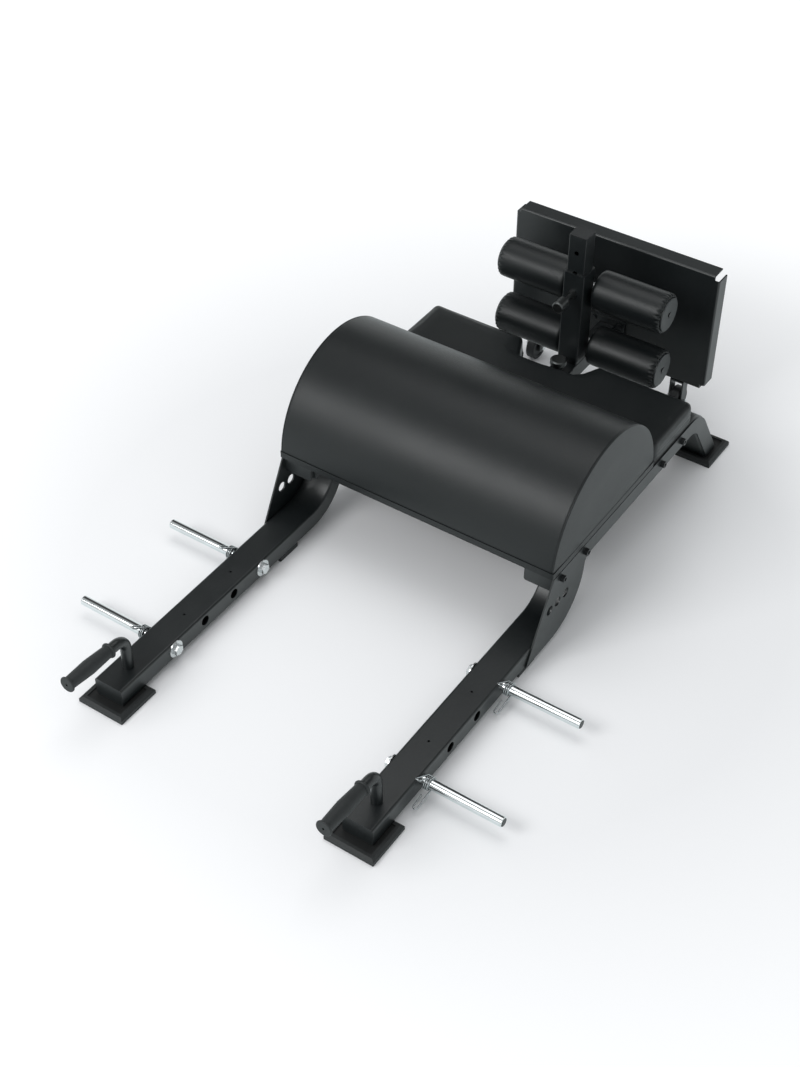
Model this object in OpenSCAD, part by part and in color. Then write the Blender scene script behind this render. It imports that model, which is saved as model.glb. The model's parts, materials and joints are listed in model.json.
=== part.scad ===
// Glute ham developer: a low floor frame with a half-round thigh pad, a flat pad,
// and a sliding carriage that carries a post, four ankle rollers and a footplate.
// Lengths are in millimetres. +X is the user's right, +Y runs back to the footplate, +Z is up.
// Distances along the machine are written from the front edge of the front feet and
// moved by mid_y, so that the whole machine is centred on the origin.

/* [Frame] */
// Distance from the middle of the machine to the middle of each leg
half_track = 350; // [250:1:450]
// Width of the leg and rail tube
tube_w = 80; // [50:1:100]
// Height of the leg and rail tube
tube_h = 50; // [40:1:80]
// Wall thickness of the frame tubes
tube_wall = 3; // [2:0.5:5]
// Outside corner radius of the frame tubes
tube_r = 6; // [3.5:0.5:10]
// Height of the underside of the front leg tubes above the floor
leg_z = 13.5; // [8:0.5:30]
// Front end of the leg tubes
leg_front_y = 34; // [10:1:60]
// Start of the upward bend of the leg tubes
leg_bend_y = 770; // [600:1:900]
// Centreline radius of the upward bend
leg_bend_r = 120; // [80:1:160]
// Height of the underside of the upper rails
rail_z = 172; // [160:1:260]
// Front end of the upper rails
rail_front_y = 769; // [700:1:800]
// Start of the downward bend of the upper rails
rail_bend_y = 1454.3; // [1400:0.1:1500]
// Centreline radius of the downward bend
rail_bend_r = 85; // [60:1:120]
// Angle by which the rear legs turn down from level
rail_bend_angle = 57.5; // [40:0.5:90]

/* [Side plates] */
// Thickness of the outer side plates
plate_t = 4; // [3:0.5:8]
// How far the plate edge stays inside the tube outline
plate_inset = 3; // [1:0.5:8]
// Front tip of the plate on the leg tube
plate_tip_y = 656; // [600:1:720]
// Front end of the plate along the rail
plate_top_y = 764; // [720:1:800]
// Inside corner radius between the column and the rail
plate_fillet = 25; // [10:1:40]
// Radius of the three lightening holes
plate_hole_r = 13; // [6:1:18]

/* [Cross members] */
// Middle of the front cross member
front_cross_y = 855; // [820:1:900]
// Middle of the rear cross members
rear_cross_y = 1350; // [1250:1:1400]
// Size of the cross member tube along the machine
cross_w = 80; // [50:1:100]
// Thickness of the bolted end plates
end_plate_t = 6; // [4:0.5:10]
// Length of the bolted end plates
end_plate_len = 146; // [120:1:180]
// Spacing of the two bolts at the front cross member
front_bolt_pitch = 110; // [90:1:120]
// Spacing of the two bolts at the rear cross members
rear_bolt_pitch = 108; // [90:1:120]
// Radius of the frame bolt shanks
frame_bolt_r = 5.9; // [4:0.1:8]
// Radius of the frame bolt holes
frame_hole_r = 6.2; // [4.1:0.1:8.5]

/* [Slide rail] */
// Outside size of the square centre rail
center_size = 60; // [50:1:80]
// Wall thickness of the centre rail
center_wall = 4; // [3:0.5:6]
// Rear end of the centre rail
center_rear_y = 1480; // [1450:1:1495]
// Outside size of the square slide tube and of the roller post
inner_size = 50; // [40:1:60]
// Wall thickness of the slide tube and of the roller post
inner_wall = 3; // [2:0.5:5]
// Gap on each side between a sliding tube and its liner
liner_gap = 0.1; // [0.05:0.05:0.5]
// Front end of the slide tube
slide_front_y = 1000; // [950:1:1100]
// Spacing of the slide tube holes
slide_pitch = 30; // [20:1:60]
// Number of slide tube holes
slide_holes = 6; // [3:1:8]

/* [Roller post] */
// Middle of the roller post along the machine
post_y = 1528; // [1515:1:1560]
// Height of the top of the roller post
post_top = 610; // [560:1:700]
// Height of the lowest post hole
pin_z = 440; // [420:1:480]
// Spacing of the post holes
post_pitch = 60; // [40:1:80]
// Number of post holes
post_holes = 3; // [2:1:4]
// Underside of the roller sleeve
sleeve_z = 232; // [225:1:260]
// Height of the roller sleeve
sleeve_len = 268; // [220:1:320]
// Wall thickness of the roller sleeve
sleeve_wall = 4; // [3:0.5:6]

/* [Rollers] */
// Radius of the padded rollers
roller_r = 54.5; // [40:1:70]
// Inner end of the rollers
roller_in_x = 38; // [34:1:50]
// Outer end of the padding
roller_out_x = 240; // [200:1:300]
// Height of the lower rollers
roller_low_z = 253; // [246:1:270]
// Height of the upper rollers
roller_high_z = 429; // [400:1:460]
// Radius of the roller axles
axle_r = 12.5; // [8:0.1:16]
// Radius of the roller hub tubes
hub_r = 20; // [16:0.5:28]
// Radius of the round end caps
cap_r = 45; // [30:1:52]
// Thickness of the round end caps
cap_t = 3.75; // [2:0.25:6]
// Radial gap between the hubs and their axles
running_gap = 0.06; // [0.02:0.01:0.1]

/* [Footplate] */
// Half of the footplate width
foot_half_w = 305.5; // [200:0.5:400]
// Front face of the footplate
foot_y = 1722; // [1700:1:1760]
// Lower edge of the footplate
foot_z = 114.4; // [90:0.1:160]
// Height of the footplate
foot_h = 364.5; // [250:0.5:450]
// Depth of the folded edges
foot_depth = 45; // [20:1:80]
// Thickness of the footplate sheet
foot_t = 4; // [3:0.5:6]
// Outside radius of the folds
foot_fold_r = 6; // [4.5:0.5:10]
// Size of the open corner notches
foot_notch = 14.5; // [10:0.5:25]

/* [Wheels] */
// Distance of the wheels from the middle of the machine
wheel_x = 225; // [150:1:280]
// Radius of the wheels
wheel_r = 40; // [25:1:50]
// Width of the wheel tread
wheel_w = 26; // [15:1:40]
// Height of the wheel axles above the floor
wheel_z = 40.5; // [30:0.5:60]
// Distance of the wheel axles behind the footplate face
wheel_back = 15; // [10:1:30]

/* [Pads] */
// How far both pads reach past the outer faces of the rails
pad_overhang = 2; // [0:0.5:20]
// Radius of the half-round thigh pad
drum_r = 244; // [180:1:280]
// Middle of the half-round thigh pad
drum_y = 1001.7; // [980:0.1:1020]
// Height of the centre of the half-round curve
drum_z = 224.7; // [210:0.1:260]
// Rounding of the pad end edges
drum_edge = 9; // [3:0.5:20]
// Thickness of the pad boards
board_t = 18; // [12:1:25]
// Distance of the inner pad bolts from the middle
cross_bolt_x = 200; // [100:1:280]
// How far the covered board stands out below the half-round pad
board_lip = 2; // [0.5:0.5:6]
// Gap between the two pads
pads_gap = 0.4; // [0.3:0.1:20]
// Rear edge of the flat pad
flat_rear_y = 1461; // [1400:1:1470]
// Height of the top of the flat pad above the rails
flat_h = 65; // [45:1:90]
// Corner radius of the flat pad seen from above
flat_r = 18; // [6:1:40]
// Front of the notch in the rear edge of the flat pad
notch_y = 1390; // [1350:1:1420]
// Half of the notch width at its front
notch_in = 80; // [50:1:100]
// Half of the notch width at the rear edge
notch_out = 114; // [90:1:140]
// Gap between the padding and the hard parts around it
soft_gap = 0.3; // [0.2:0.1:1]

/* [Handles and pegs] */
// Radius of the handle tube
handle_r = 13.5; // [8:0.5:16]
// Middle of the handle stem
handle_y = 106; // [80:1:150]
// Height of the start of the handle bend
handle_bend_z = 126.5; // [100:0.5:200]
// Centreline radius of the handle bend
handle_bend_r = 32; // [24:1:50]
// Upward tilt of the grips
handle_tilt = 4; // [0:0.5:15]
// Length of the grips
grip_len = 142; // [100:1:160]
// Radius of the grips next to their flanges
grip_r = 16; // [15:0.1:20]
// Radius of the grips at their middle
grip_mid_r = 18.8; // [16:0.1:22]
// Radius of the round disc that closes each grip
grip_end_r = 20; // [17:0.5:26]
// Thickness of that disc
grip_end_t = 6; // [4:0.5:10]
// Radius of the rounded collar at the inner end of each grip
grip_flange_r = 19.6; // [16:0.1:24]
// Width of that collar
grip_flange_t = 8; // [4:0.5:14]
// Height of the band peg axes
peg_z = 42.3; // [30:0.1:50]
// Distance of the first peg hole from the front of the feet
peg_first_y = 224.6; // [150:0.1:300]
// Spacing of the four peg holes
peg_pitch = 111; // [80:1:140]
// Radius of the band pegs
peg_r = 12.5; // [8:0.5:16]
// Radius of the peg holes
peg_hole_r = 13; // [8.5:0.5:17]
// Outer end of the band pegs
peg_end_x = 599; // [500:1:650]

/* [Collars] */
// Radius of the collar spring wire
wire_r = 2; // [1.5:0.1:3]
// Centreline radius of the collar coil
coil_r = 15.6; // [14.9:0.1:18]
// Distance between two turns of the coil
coil_pitch = 4.7; // [4.5:0.1:6]
// Length of the two collar handles measured from the peg axis
loop_len = 66; // [40:1:80]

/* [Feet] */
// Width of the raised border of the rubber feet
foot_border = 14; // [10:1:30]
// Height of the upright outer edge of the rubber feet, below the sloped rim
foot_edge_h = 10; // [8:0.5:16]
// Width of the rubber feet
foot_pad_w = 130; // [100:1:160]
// Depth of the rubber feet
foot_pad_d = 120; // [100:1:160]
// Height of the rubber foot rim
foot_pad_h = 16.5; // [14:0.5:30]
// Front edge of the rear feet
rear_foot_y = 1567; // [1540:1:1600]

/* [View] */
// Name of the piece to draw, or all of them

/* [Hidden] */
$fn = 64;
leg_mid_z = leg_z + tube_h / 2;
leg_bend_z = leg_mid_z + leg_bend_r;
column_y = leg_bend_y + leg_bend_r;
rail_mid_z = rail_z + tube_h / 2;
rail_top_z = rail_z + tube_h;
rail_bend_z = rail_mid_z - rail_bend_r;
bend_thin = 0.02;
bend_lap = 1;
inner_x = half_track - tube_w / 2;
pad_half_w = half_track + tube_w / 2 + pad_overhang;
outer_x = half_track + tube_w / 2;
center_z = rail_top_z - center_size / 2;
center_bore = center_size - 2 * center_wall;
liner_bore = inner_size + 2 * liner_gap;
front_cross_end = front_cross_y + cross_w / 2;
end_plate_in = inner_x - end_plate_t;
slide_top_z = center_z + inner_size / 2;
carriage_pin_y = 1450;
tip_gap = 0.3;
sleeve_size = inner_size + 2 * sleeve_wall + 2;
sleeve_front_y = post_y - sleeve_size / 2;
post_front_y = post_y - inner_size / 2;
foot_rear_y = foot_y + foot_depth;
foot_top_z = foot_z + foot_h;
bracket_t = 6;
wheel_y = foot_y + wheel_back;
grip_dir_y = -cos(handle_tilt);
grip_dir_z = sin(handle_tilt);
handle_out_y = handle_y - handle_bend_r + handle_bend_r * sin(handle_tilt);
handle_out_z = handle_bend_z + handle_bend_r * cos(handle_tilt);
handle_straight = 158;
grip_bow = grip_mid_r - grip_r;
drum_base_z = rail_top_z + board_t;
drum_half_y = sqrt(pow(drum_r, 2) - pow(drum_base_z - drum_z, 2));
flat_front_y = drum_y + drum_half_y + board_lip + pads_gap;
grip_bow_r = (pow(grip_len / 2, 2) + pow(grip_bow, 2)) / (2 * grip_bow);
grip_end_y = handle_out_y + grip_dir_y * (handle_straight + 2) - grip_end_r * sin(handle_tilt);
rear_y = max(foot_rear_y, wheel_y + wheel_r);
mid_y = (grip_end_y + rear_y) / 2;
pin_r = 6;
pin_hole_r = 6.4;
pin_bore_r = 6.1;
collar_in_x = outer_x + plate_t + 1.4;
coil_turns = 3;
frame_paint = [0.09, 0.09, 0.10];
vinyl = [0.06, 0.06, 0.07];
rubber = [0.05, 0.05, 0.05];
steel = [0.75, 0.76, 0.78];
plastic = [0.10, 0.10, 0.10];
wood = [0.60, 0.48, 0.33];

// Moves a piece from distances along the machine to the centred frame
module place() {
  translate([0, -mid_y, 0]) children();
}

// Rectangle with round corners, centred
module round_rect(w, h, r) {
  square([w - 2 * r, h], center = true);
  square([w, h - 2 * r], center = true);
  for (sx = [-1, 1], sy = [-1, 1])
    translate([sx * (w / 2 - r), sy * (h / 2 - r)]) circle(r = r);
}

// Rectangular tube section, x across and y up
module tube_section(w, h, wall, r) {
  difference() {
    round_rect(w, h, r);
    round_rect(w - 2 * wall, h - 2 * wall, r - wall);
  }
}

// Round rod along X between two places
module rod_x(x0, x1, r) {
  translate([x0, 0, 0]) rotate([0, 90, 0]) cylinder(r = r, h = x1 - x0);
}

// Frame tube body of a leg, made smaller by inset
module leg_body(inset, front) {
  w = tube_w - 2 * inset;
  h = tube_h - 2 * inset;
  r = tube_r - inset;
  translate([0, front, leg_mid_z]) rotate([-90, 0, 0])
    linear_extrude(height = leg_bend_y - front) round_rect(w, h, r);
  translate([0, leg_bend_y, leg_bend_z]) rotate([90, 0, 90]) rotate([0, 0, -90])
    rotate_extrude(angle = 90) translate([leg_bend_r, 0]) round_rect(h, w, r);
  translate([0, column_y, leg_bend_z])
    linear_extrude(height = rail_z - leg_bend_z) round_rect(w, h, r);
}

// Leg with its upward bend, closed at the front, with peg holes and two small top holes
module leg(side) {
  translate([side * half_track, 0, 0]) difference() {
    leg_body(0, leg_front_y);
    leg_body(tube_wall, leg_front_y + tube_wall);
    for (i = [0:3])
      translate([0, peg_first_y + i * peg_pitch, peg_z]) rod_x(-tube_w, tube_w, peg_hole_r);
    for (i = [0, 1])
      translate([0, peg_first_y + (0.75 + 1.6 * i) * peg_pitch, leg_mid_z])
        cylinder(r = 3, h = tube_h);
  }
}

// Frame tube body of a rail with its rear leg cut off level at foot, made smaller by inset.
// The bend is a hair thinner than the straights and runs a little way into both.
module rail_body(inset, front, foot) {
  w = tube_w - 2 * inset;
  h = tube_h - 2 * inset;
  r = tube_r - inset;
  difference() {
    union() {
      translate([0, front, rail_mid_z]) rotate([-90, 0, 0])
        linear_extrude(height = rail_bend_y - front) round_rect(w, h, r);
      translate([0, rail_bend_y, rail_bend_z]) rotate([90, 0, 90])
        rotate([0, 0, 90 - rail_bend_angle - bend_lap])
        rotate_extrude(angle = rail_bend_angle + 2 * bend_lap) translate([rail_bend_r, 0])
        round_rect(h - 2 * bend_thin, w - 2 * bend_thin, r - bend_thin);
      translate([0, rail_bend_y, rail_bend_z]) rotate([90, 0, 90])
        rotate([0, 0, 90 - rail_bend_angle]) translate([rail_bend_r, 0, 0])
        rotate([90, 0, 0]) linear_extrude(height = 230) round_rect(h, w, r);
    }
    translate([0, rail_bend_y, foot - 200]) cube([2 * tube_w, 600, 400], center = true);
  }
}

// Places of the four frame bolts along one rail
function bolt_places() = [
  front_cross_y - front_bolt_pitch / 2, front_cross_y + front_bolt_pitch / 2,
  rear_cross_y - rear_bolt_pitch / 2, rear_cross_y + rear_bolt_pitch / 2
];

// Rail with its downward bend and rear leg
module rail(side) {
  translate([side * half_track, 0, 0]) difference() {
    rail_body(0, rail_front_y, leg_z);
    rail_body(tube_wall, rail_front_y + tube_wall, leg_z + tube_wall);
    for (y = bolt_places())
      translate([0, y, rail_mid_z]) rod_x(-tube_w, tube_w, frame_hole_r);
    for (y = rail_board_bolts())
      translate([0, y, rail_z - 10]) cylinder(r = 4.4, h = tube_h + 20);
  }
}

// Places of the pad bolts that pass through a rail
function rail_board_bolts() = [1150, 1432];

// Outline of a side plate, x along the machine and y up
module plate_outline() {
  low = leg_z + plate_inset;
  top = rail_top_z - plate_inset;
  under = rail_z + plate_inset;
  rear = column_y + tube_h / 2 - plate_inset;
  half = tube_h / 2 - plate_inset;
  difference() {
    union() {
      polygon([[plate_tip_y, low], [leg_bend_y, low], [leg_bend_y, leg_bend_z],
        [rear, leg_bend_z], [rear, top], [plate_top_y, top]]);
      intersection() {
        translate([leg_bend_y, leg_bend_z]) circle(r = leg_bend_r + half);
        translate([leg_bend_y, low]) square([rear - leg_bend_y, leg_bend_z - low]);
      }
      translate([plate_top_y, under]) square([rail_bend_y - plate_top_y, top - under]);
      difference() {
        translate([rear, under - plate_fillet]) square(plate_fillet);
        translate([rear + plate_fillet, under - plate_fillet]) circle(r = plate_fillet);
      }
      difference() {
        translate([rail_bend_y, rail_bend_z]) rotate(90 - rail_bend_angle) {
          intersection() {
            difference() {
              circle(r = rail_bend_r + half - bend_thin);
              circle(r = rail_bend_r - half + bend_thin);
            }
            polygon([[0, 0], [200, -200 * tan(bend_lap)],
              [200, 200 * tan(rail_bend_angle + bend_lap)]]);
          }
          translate([rail_bend_r - half, -200]) square([2 * half, 200]);
        }
        translate([rail_bend_y - 100, -200 + leg_z + 6]) square([400, 200]);
      }
    }
    for (y = [752, 789, 826])
      translate([y, 128]) circle(r = plate_hole_r);
    for (y = bolt_places())
      translate([y, rail_mid_z]) circle(r = frame_hole_r);
  }
}

// Outer side plate
module side_plate(side) {
  translate([side > 0 ? outer_x : -outer_x - plate_t, 0, 0])
    rotate([90, 0, 90]) linear_extrude(height = plate_t) plate_outline();
}

// Bolted end plate of a cross member, on the side named by side
module end_plate(side, y, pitch) {
  translate([side > 0 ? end_plate_in : -inner_x, y, rail_mid_z]) difference() {
    translate([0, -end_plate_len / 2, -tube_h / 2 + 1])
      cube([end_plate_t, end_plate_len, tube_h - 2]);
    for (s = [-1, 1])
      translate([0, s * pitch / 2, 0]) rod_x(-1, end_plate_t + 1, frame_hole_r);
  }
}

// Tube across the machine between two places
module cross_tube(x0, x1, y) {
  translate([x0, y, rail_mid_z]) rotate([0, 90, 0])
    linear_extrude(height = x1 - x0) tube_section(tube_h, cross_w, tube_wall, tube_r);
}

// Distance of the pad bolts in the cross members from the middle

module front_cross() {
  difference() {
    cross_tube(-end_plate_in, end_plate_in, front_cross_y);
    for (s = [-1, 1])
      translate([s * cross_bolt_x, front_cross_y, rail_z - 10]) cylinder(r = 4.4, h = tube_h + 20);
  }
  for (s = [-1, 1]) end_plate(s, front_cross_y, front_bolt_pitch);
}

module rear_cross(side) {
  difference() {
    if (side > 0) cross_tube(center_size / 2, end_plate_in, rear_cross_y);
    else cross_tube(-end_plate_in, -center_size / 2, rear_cross_y);
    translate([side * cross_bolt_x, rear_cross_y, rail_z - 10])
      cylinder(r = 4.4, h = tube_h + 20);
  }
  end_plate(side, rear_cross_y, rear_bolt_pitch);
}

// Frame bolts with socket heads outside and hexagon nuts inside
module bolts_frame() {
  for (s = [-1, 1]) scale_x(s) for (y = bolt_places()) translate([0, y, rail_mid_z]) {
    rod_x(end_plate_in - 13, outer_x + plate_t + 1, frame_bolt_r);
    difference() {
      rod_x(outer_x + plate_t, outer_x + plate_t + 10, 9);
      translate([outer_x + plate_t + 5, 0, 0]) rotate([0, 90, 0])
        cylinder(r = 5.5, h = 6, $fn = 6);
    }
    translate([end_plate_in - 10, 0, 0]) rotate([0, 90, 0]) cylinder(r = 10.9, h = 10, $fn = 6);
  }
}

// Mirrors to the left side when s is negative
module scale_x(s) {
  mirror([s < 0 ? 1 : 0, 0, 0]) children();
}

module rail_center() {
  difference() {
    translate([0, front_cross_end, center_z]) rotate([-90, 0, 0])
      linear_extrude(height = center_rear_y - front_cross_end)
      tube_section(center_size, center_size, center_wall, 5);
    translate([0, carriage_pin_y, center_z]) cylinder(r = pin_hole_r, h = center_size);
  }
}

// Low-friction liner ring, centred, drawn upwards
module liner_ring(len) {
  linear_extrude(height = len) difference() {
    round_rect(center_bore, center_bore, 1.2);
    round_rect(liner_bore, liner_bore, 3);
  }
}

module liners_rail() {
  for (y = [1375, center_rear_y - 20])
    translate([0, y, center_z]) rotate([-90, 0, 0]) liner_ring(20);
}

// Rubber foot with a sunk floor for the leg end
module rubber_foot(x, y, tube_gap) {
  c = 6;
  difference() {
    intersection() {
      translate([x - foot_pad_w / 2, y, 0]) rotate([90, 0, 90])
        linear_extrude(height = foot_pad_w)
        polygon([[0, 0], [foot_pad_d, 0], [foot_pad_d, foot_edge_h],
          [foot_pad_d - c, foot_pad_h], [c, foot_pad_h], [0, foot_edge_h]]);
      translate([x, y + foot_pad_d, 0]) rotate([90, 0, 0]) linear_extrude(height = foot_pad_d)
        polygon([[-foot_pad_w / 2, 0], [foot_pad_w / 2, 0], [foot_pad_w / 2, foot_edge_h],
          [foot_pad_w / 2 - c, foot_pad_h], [c - foot_pad_w / 2, foot_pad_h],
          [-foot_pad_w / 2, foot_edge_h]]);
    }
    translate([x - foot_pad_w / 2 + foot_border, y + foot_border, leg_z])
      cube([foot_pad_w - 2 * foot_border, foot_pad_d - 2 * foot_border, 20]);
    translate([x - 41, y + 60, leg_z]) cube([82, tube_gap, 20]);
  }
}

module pads_underbeam() {
  for (s = [-1, 1]) translate([s * half_track - 38, 634, 0]) cube([76, 71, leg_z]);
}

// Bent handle tube
module handle(side) {
  translate([side * half_track, 0, 0]) difference() {
    handle_body(handle_r);
    handle_body(handle_r - 2);
  }
}

module handle_body(r) {
  translate([0, handle_y, leg_z + tube_h])
    cylinder(r = r, h = handle_bend_z - leg_z - tube_h);
  translate([0, handle_y - handle_bend_r, handle_bend_z]) rotate([90, 0, 90])
    rotate([0, 0, 90 - handle_tilt]) rotate([180, 0, 0]) {
      rotate_extrude(angle = 90 - handle_tilt) translate([handle_bend_r, 0]) circle(r = r);
      translate([handle_bend_r, 0, 0]) rotate([90, 0, 0]) cylinder(r = r, h = handle_straight);
    }
}

// Half section of a disc with a full round edge
module bead(z, t, r) {
  translate([0, z]) square([r - t / 2, t]);
  translate([r - t / 2, z + t / 2]) circle(r = t / 2);
}

// Rubber grip with two flanges, drawn along the tilted tube
module grip(side) {
  start = handle_straight + 2 - grip_len;
  translate([side * half_track, handle_out_y, handle_out_z]) rotate([90 - handle_tilt, 0, 0])
    translate([0, 0, start]) difference() {
      rotate_extrude() {
        intersection() {
          square([grip_mid_r, grip_len]);
          translate([grip_mid_r - grip_bow_r, grip_len / 2]) circle(r = grip_bow_r);
        }
        bead(0, grip_flange_t, grip_flange_r);
        bead(grip_len - grip_end_t, grip_end_t, grip_end_r);
      }
      translate([0, 0, -1]) cylinder(r = handle_r + 0.05, h = grip_len - 2 + 1);
      cylinder(r = 3, h = grip_len + 1);
    }
}

// Band peg with a chamfered end and a threaded inner end
module peg(side, i) {
  scale_x(side) translate([0, peg_first_y + i * peg_pitch, peg_z]) difference() {
    union() {
      rod_x(inner_x, peg_end_x - 3, peg_r);
      translate([peg_end_x - 3, 0, 0]) rotate([0, 90, 0])
        cylinder(r1 = peg_r, r2 = peg_r - 3, h = 3);
    }
    rod_x(inner_x - 1, inner_x + 36, 8.1);
  }
}

module fasteners_peg() {
  for (s = [-1, 1], i = [0, 3]) scale_x(s) translate([0, peg_first_y + i * peg_pitch, peg_z]) {
    rod_x(inner_x - 3, inner_x, 22);
    translate([inner_x - 13, 0, 0]) rotate([0, 90, 0]) cylinder(r = 13.8, h = 10, $fn = 6);
    rod_x(inner_x - 3, inner_x + 32, 8);
  }
}

// Half-round padding over its board
module pad_cylinder() {
  difference() {
    translate([0, drum_y, drum_z]) rotate([0, 90, 0]) rotate_extrude() {
      translate([0, -pad_half_w]) square([drum_r - drum_edge, 2 * pad_half_w]);
      translate([0, drum_edge - pad_half_w]) square([drum_r, 2 * (pad_half_w - drum_edge)]);
      for (s = [-1, 1]) translate([drum_r - drum_edge, s * (pad_half_w - drum_edge)])
        circle(r = drum_edge);
    }
    translate([-500, drum_y - 500, drum_base_z + soft_gap - 600]) cube([1000, 1000, 600]);
  }
}

module board_cylinder() {
  translate([0, 0, rail_top_z]) difference() {
    translate([0, drum_y, 0]) linear_extrude(height = board_t)
      round_rect(2 * (pad_half_w + board_lip), 2 * (drum_half_y + board_lip), 4);
    for (s = [-1, 1]) {
      translate([s * cross_bolt_x, front_cross_y, -1]) cylinder(r = 4.1, h = 15);
      translate([s * half_track, rail_board_bolts()[0], -1]) cylinder(r = 4.1, h = 15);
    }
  }
}

// Corners of the flat pad: place of the arc centre, radius, start angle, end angle, and
// 1 where the outline turns outwards or -1 where it turns inwards
notch_tilt = atan((notch_out - notch_in) / (flat_rear_y - notch_y));
notch_r = 8;
notch_shift = notch_r * (1 - sin(notch_tilt)) / cos(notch_tilt);
flat_corners = [
  [pad_half_w - flat_r, flat_front_y + flat_r, flat_r, -90, 0, 1],
  [pad_half_w - flat_r, flat_rear_y - flat_r, flat_r, 0, 90, 1],
  [notch_out + notch_shift, flat_rear_y - notch_r, notch_r, 90, 180 - notch_tilt, 1],
  [notch_in - notch_shift, notch_y + notch_r, notch_r, -notch_tilt, -90, -1],
  [notch_shift - notch_in, notch_y + notch_r, notch_r, -90, notch_tilt - 180, -1],
  [-notch_out - notch_shift, flat_rear_y - notch_r, notch_r, notch_tilt, 90, 1],
  [flat_r - pad_half_w, flat_rear_y - flat_r, flat_r, 90, 180, 1],
  [flat_r - pad_half_w, flat_front_y + flat_r, flat_r, 180, 270, 1]
];
corner_steps = 4;
least_r = 0.8;

// Outline of the flat pad drawn in by d, as a list of points at height z. Outward corners
// keep at least the radius least_r and move inwards beyond that.
function flat_ring(d, z) = [
  for (c = flat_corners)
    let (
      full = c[2] - c[5] * d,
      r = max(full, least_r),
      mid = (c[3] + c[4]) / 2,
      s = (r - full) / cos((c[4] - c[3]) / 2)
    )
    for (i = [0:corner_steps])
      let (a = c[3] + (c[4] - c[3]) * i / corner_steps)
      [c[0] + r * cos(a) - s * cos(mid), c[1] + r * sin(a) - s * sin(mid), z]
];

// Closed skin through a list of equal rings, bottom ring first
module ring_skin(rings) {
  n = len(rings[0]);
  m = len(rings);
  polyhedron(
    points = [for (ring = rings) for (p = ring) p],
    faces = concat(
      [[for (i = [0:n - 1]) i]],
      [for (k = [0:m - 2], i = [0:n - 1])
        [k * n + i, (k + 1) * n + i, (k + 1) * n + (i + 1) % n, k * n + (i + 1) % n]],
      [[for (i = [n - 1:-1:0]) (m - 1) * n + i]]
    )
  );
}

// Drawn-in distance and height of each ring of the flat padding, from the ceiling of the
// board pocket down to its rim, then up the outside and over the top
flat_profile = [
  [6, (board_t + soft_gap) * 66 / flat_h], [6, soft_gap], [2.5, soft_gap], [0.8, 3], [0.4, 14], [0, 30], [0.4, 46], [1.6, 54], [5, 60],
  [11, 63.4], [24, 65.2], [44, 66]
];

module pad_flat() {
  ring_skin([for (p = flat_profile) flat_ring(p[0], rail_top_z + p[1] * flat_h / 66)]);
}

module board_flat() {
  translate([0, 0, rail_top_z]) difference() {
    linear_extrude(height = board_t)
      polygon([for (p = flat_ring(6 + soft_gap, 0)) [p[0], p[1]]]);
    for (s = [-1, 1]) {
      translate([s * cross_bolt_x, rear_cross_y, -1]) cylinder(r = 4.1, h = 15);
      translate([s * half_track, rail_board_bolts()[1], -1]) cylinder(r = 4.1, h = 15);
    }
  }
}

// Pad bolts from below, each with a washer
module bolts_board() {
  for (s = [-1, 1])
    for (p = [[cross_bolt_x, front_cross_y], [half_track, rail_board_bolts()[0]],
        [cross_bolt_x, rear_cross_y], [half_track, rail_board_bolts()[1]]])
      translate([s * p[0], p[1], rail_z]) {
        translate([0, 0, -2]) cylinder(r = 9, h = 2);
        translate([0, 0, -7.5]) cylinder(r = 7.5, h = 5.5, $fn = 6);
        translate([0, 0, -2]) cylinder(r = 4, h = tube_h + 15);
      }
}

// Slide tube with its row of holes and the rear end plate
module tube_carriage() {
  difference() {
    translate([0, slide_front_y, center_z]) rotate([-90, 0, 0])
      linear_extrude(height = foot_y - bracket_t - slide_front_y)
      tube_section(inner_size, inner_size, inner_wall, 4);
    for (i = [0:slide_holes - 1])
      translate([0, carriage_pin_y - i * slide_pitch, center_z])
        cylinder(r = pin_hole_r, h = inner_size);
  }
  difference() {
    translate([-55, foot_y - bracket_t, center_z - 45]) cube([110, bracket_t, 90]);
    bracket_holes();
  }
}

// Places of the four footplate bolts
module bracket_places() {
  for (sx = [-1, 1], sz = [-1, 1])
    translate([sx * 40, foot_y, center_z + sz * 32]) children();
}

module bracket_holes() {
  bracket_places() rotate([90, 0, 0]) cylinder(r = 5.2, h = 60, center = true);
}

module post_roller() {
  difference() {
    translate([0, post_y, slide_top_z]) linear_extrude(height = post_top - 4 - slide_top_z)
      tube_section(inner_size, inner_size, inner_wall, 4);
    for (i = [0:post_holes - 1])
      translate([0, post_y, pin_z + i * post_pitch]) rotate([90, 0, 0])
        cylinder(r = pin_hole_r, h = inner_size);
  }
}

module cap_post() {
  translate([0, post_y, post_top - 4]) linear_extrude(height = 4)
    round_rect(inner_size, inner_size, 4);
  translate([0, post_y, post_top - 16]) linear_extrude(height = 12)
    round_rect(inner_size - 2 * inner_wall - 0.2, inner_size - 2 * inner_wall - 0.2, 2);
}

// Quarter section of a fold: outer corner at the origin, legs towards +x and +y
module fold_section(a, b) {
  difference() {
    union() {
      translate([foot_fold_r, 0]) square([a - foot_fold_r, foot_t]);
      translate([0, foot_fold_r]) square([foot_t, b - foot_fold_r]);
      intersection() {
        translate([foot_fold_r, foot_fold_r]) circle(r = foot_fold_r);
        square(foot_fold_r);
      }
    }
    intersection() {
      translate([foot_fold_r, foot_fold_r]) circle(r = foot_fold_r - foot_t);
      square(foot_fold_r);
    }
  }
}

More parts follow.
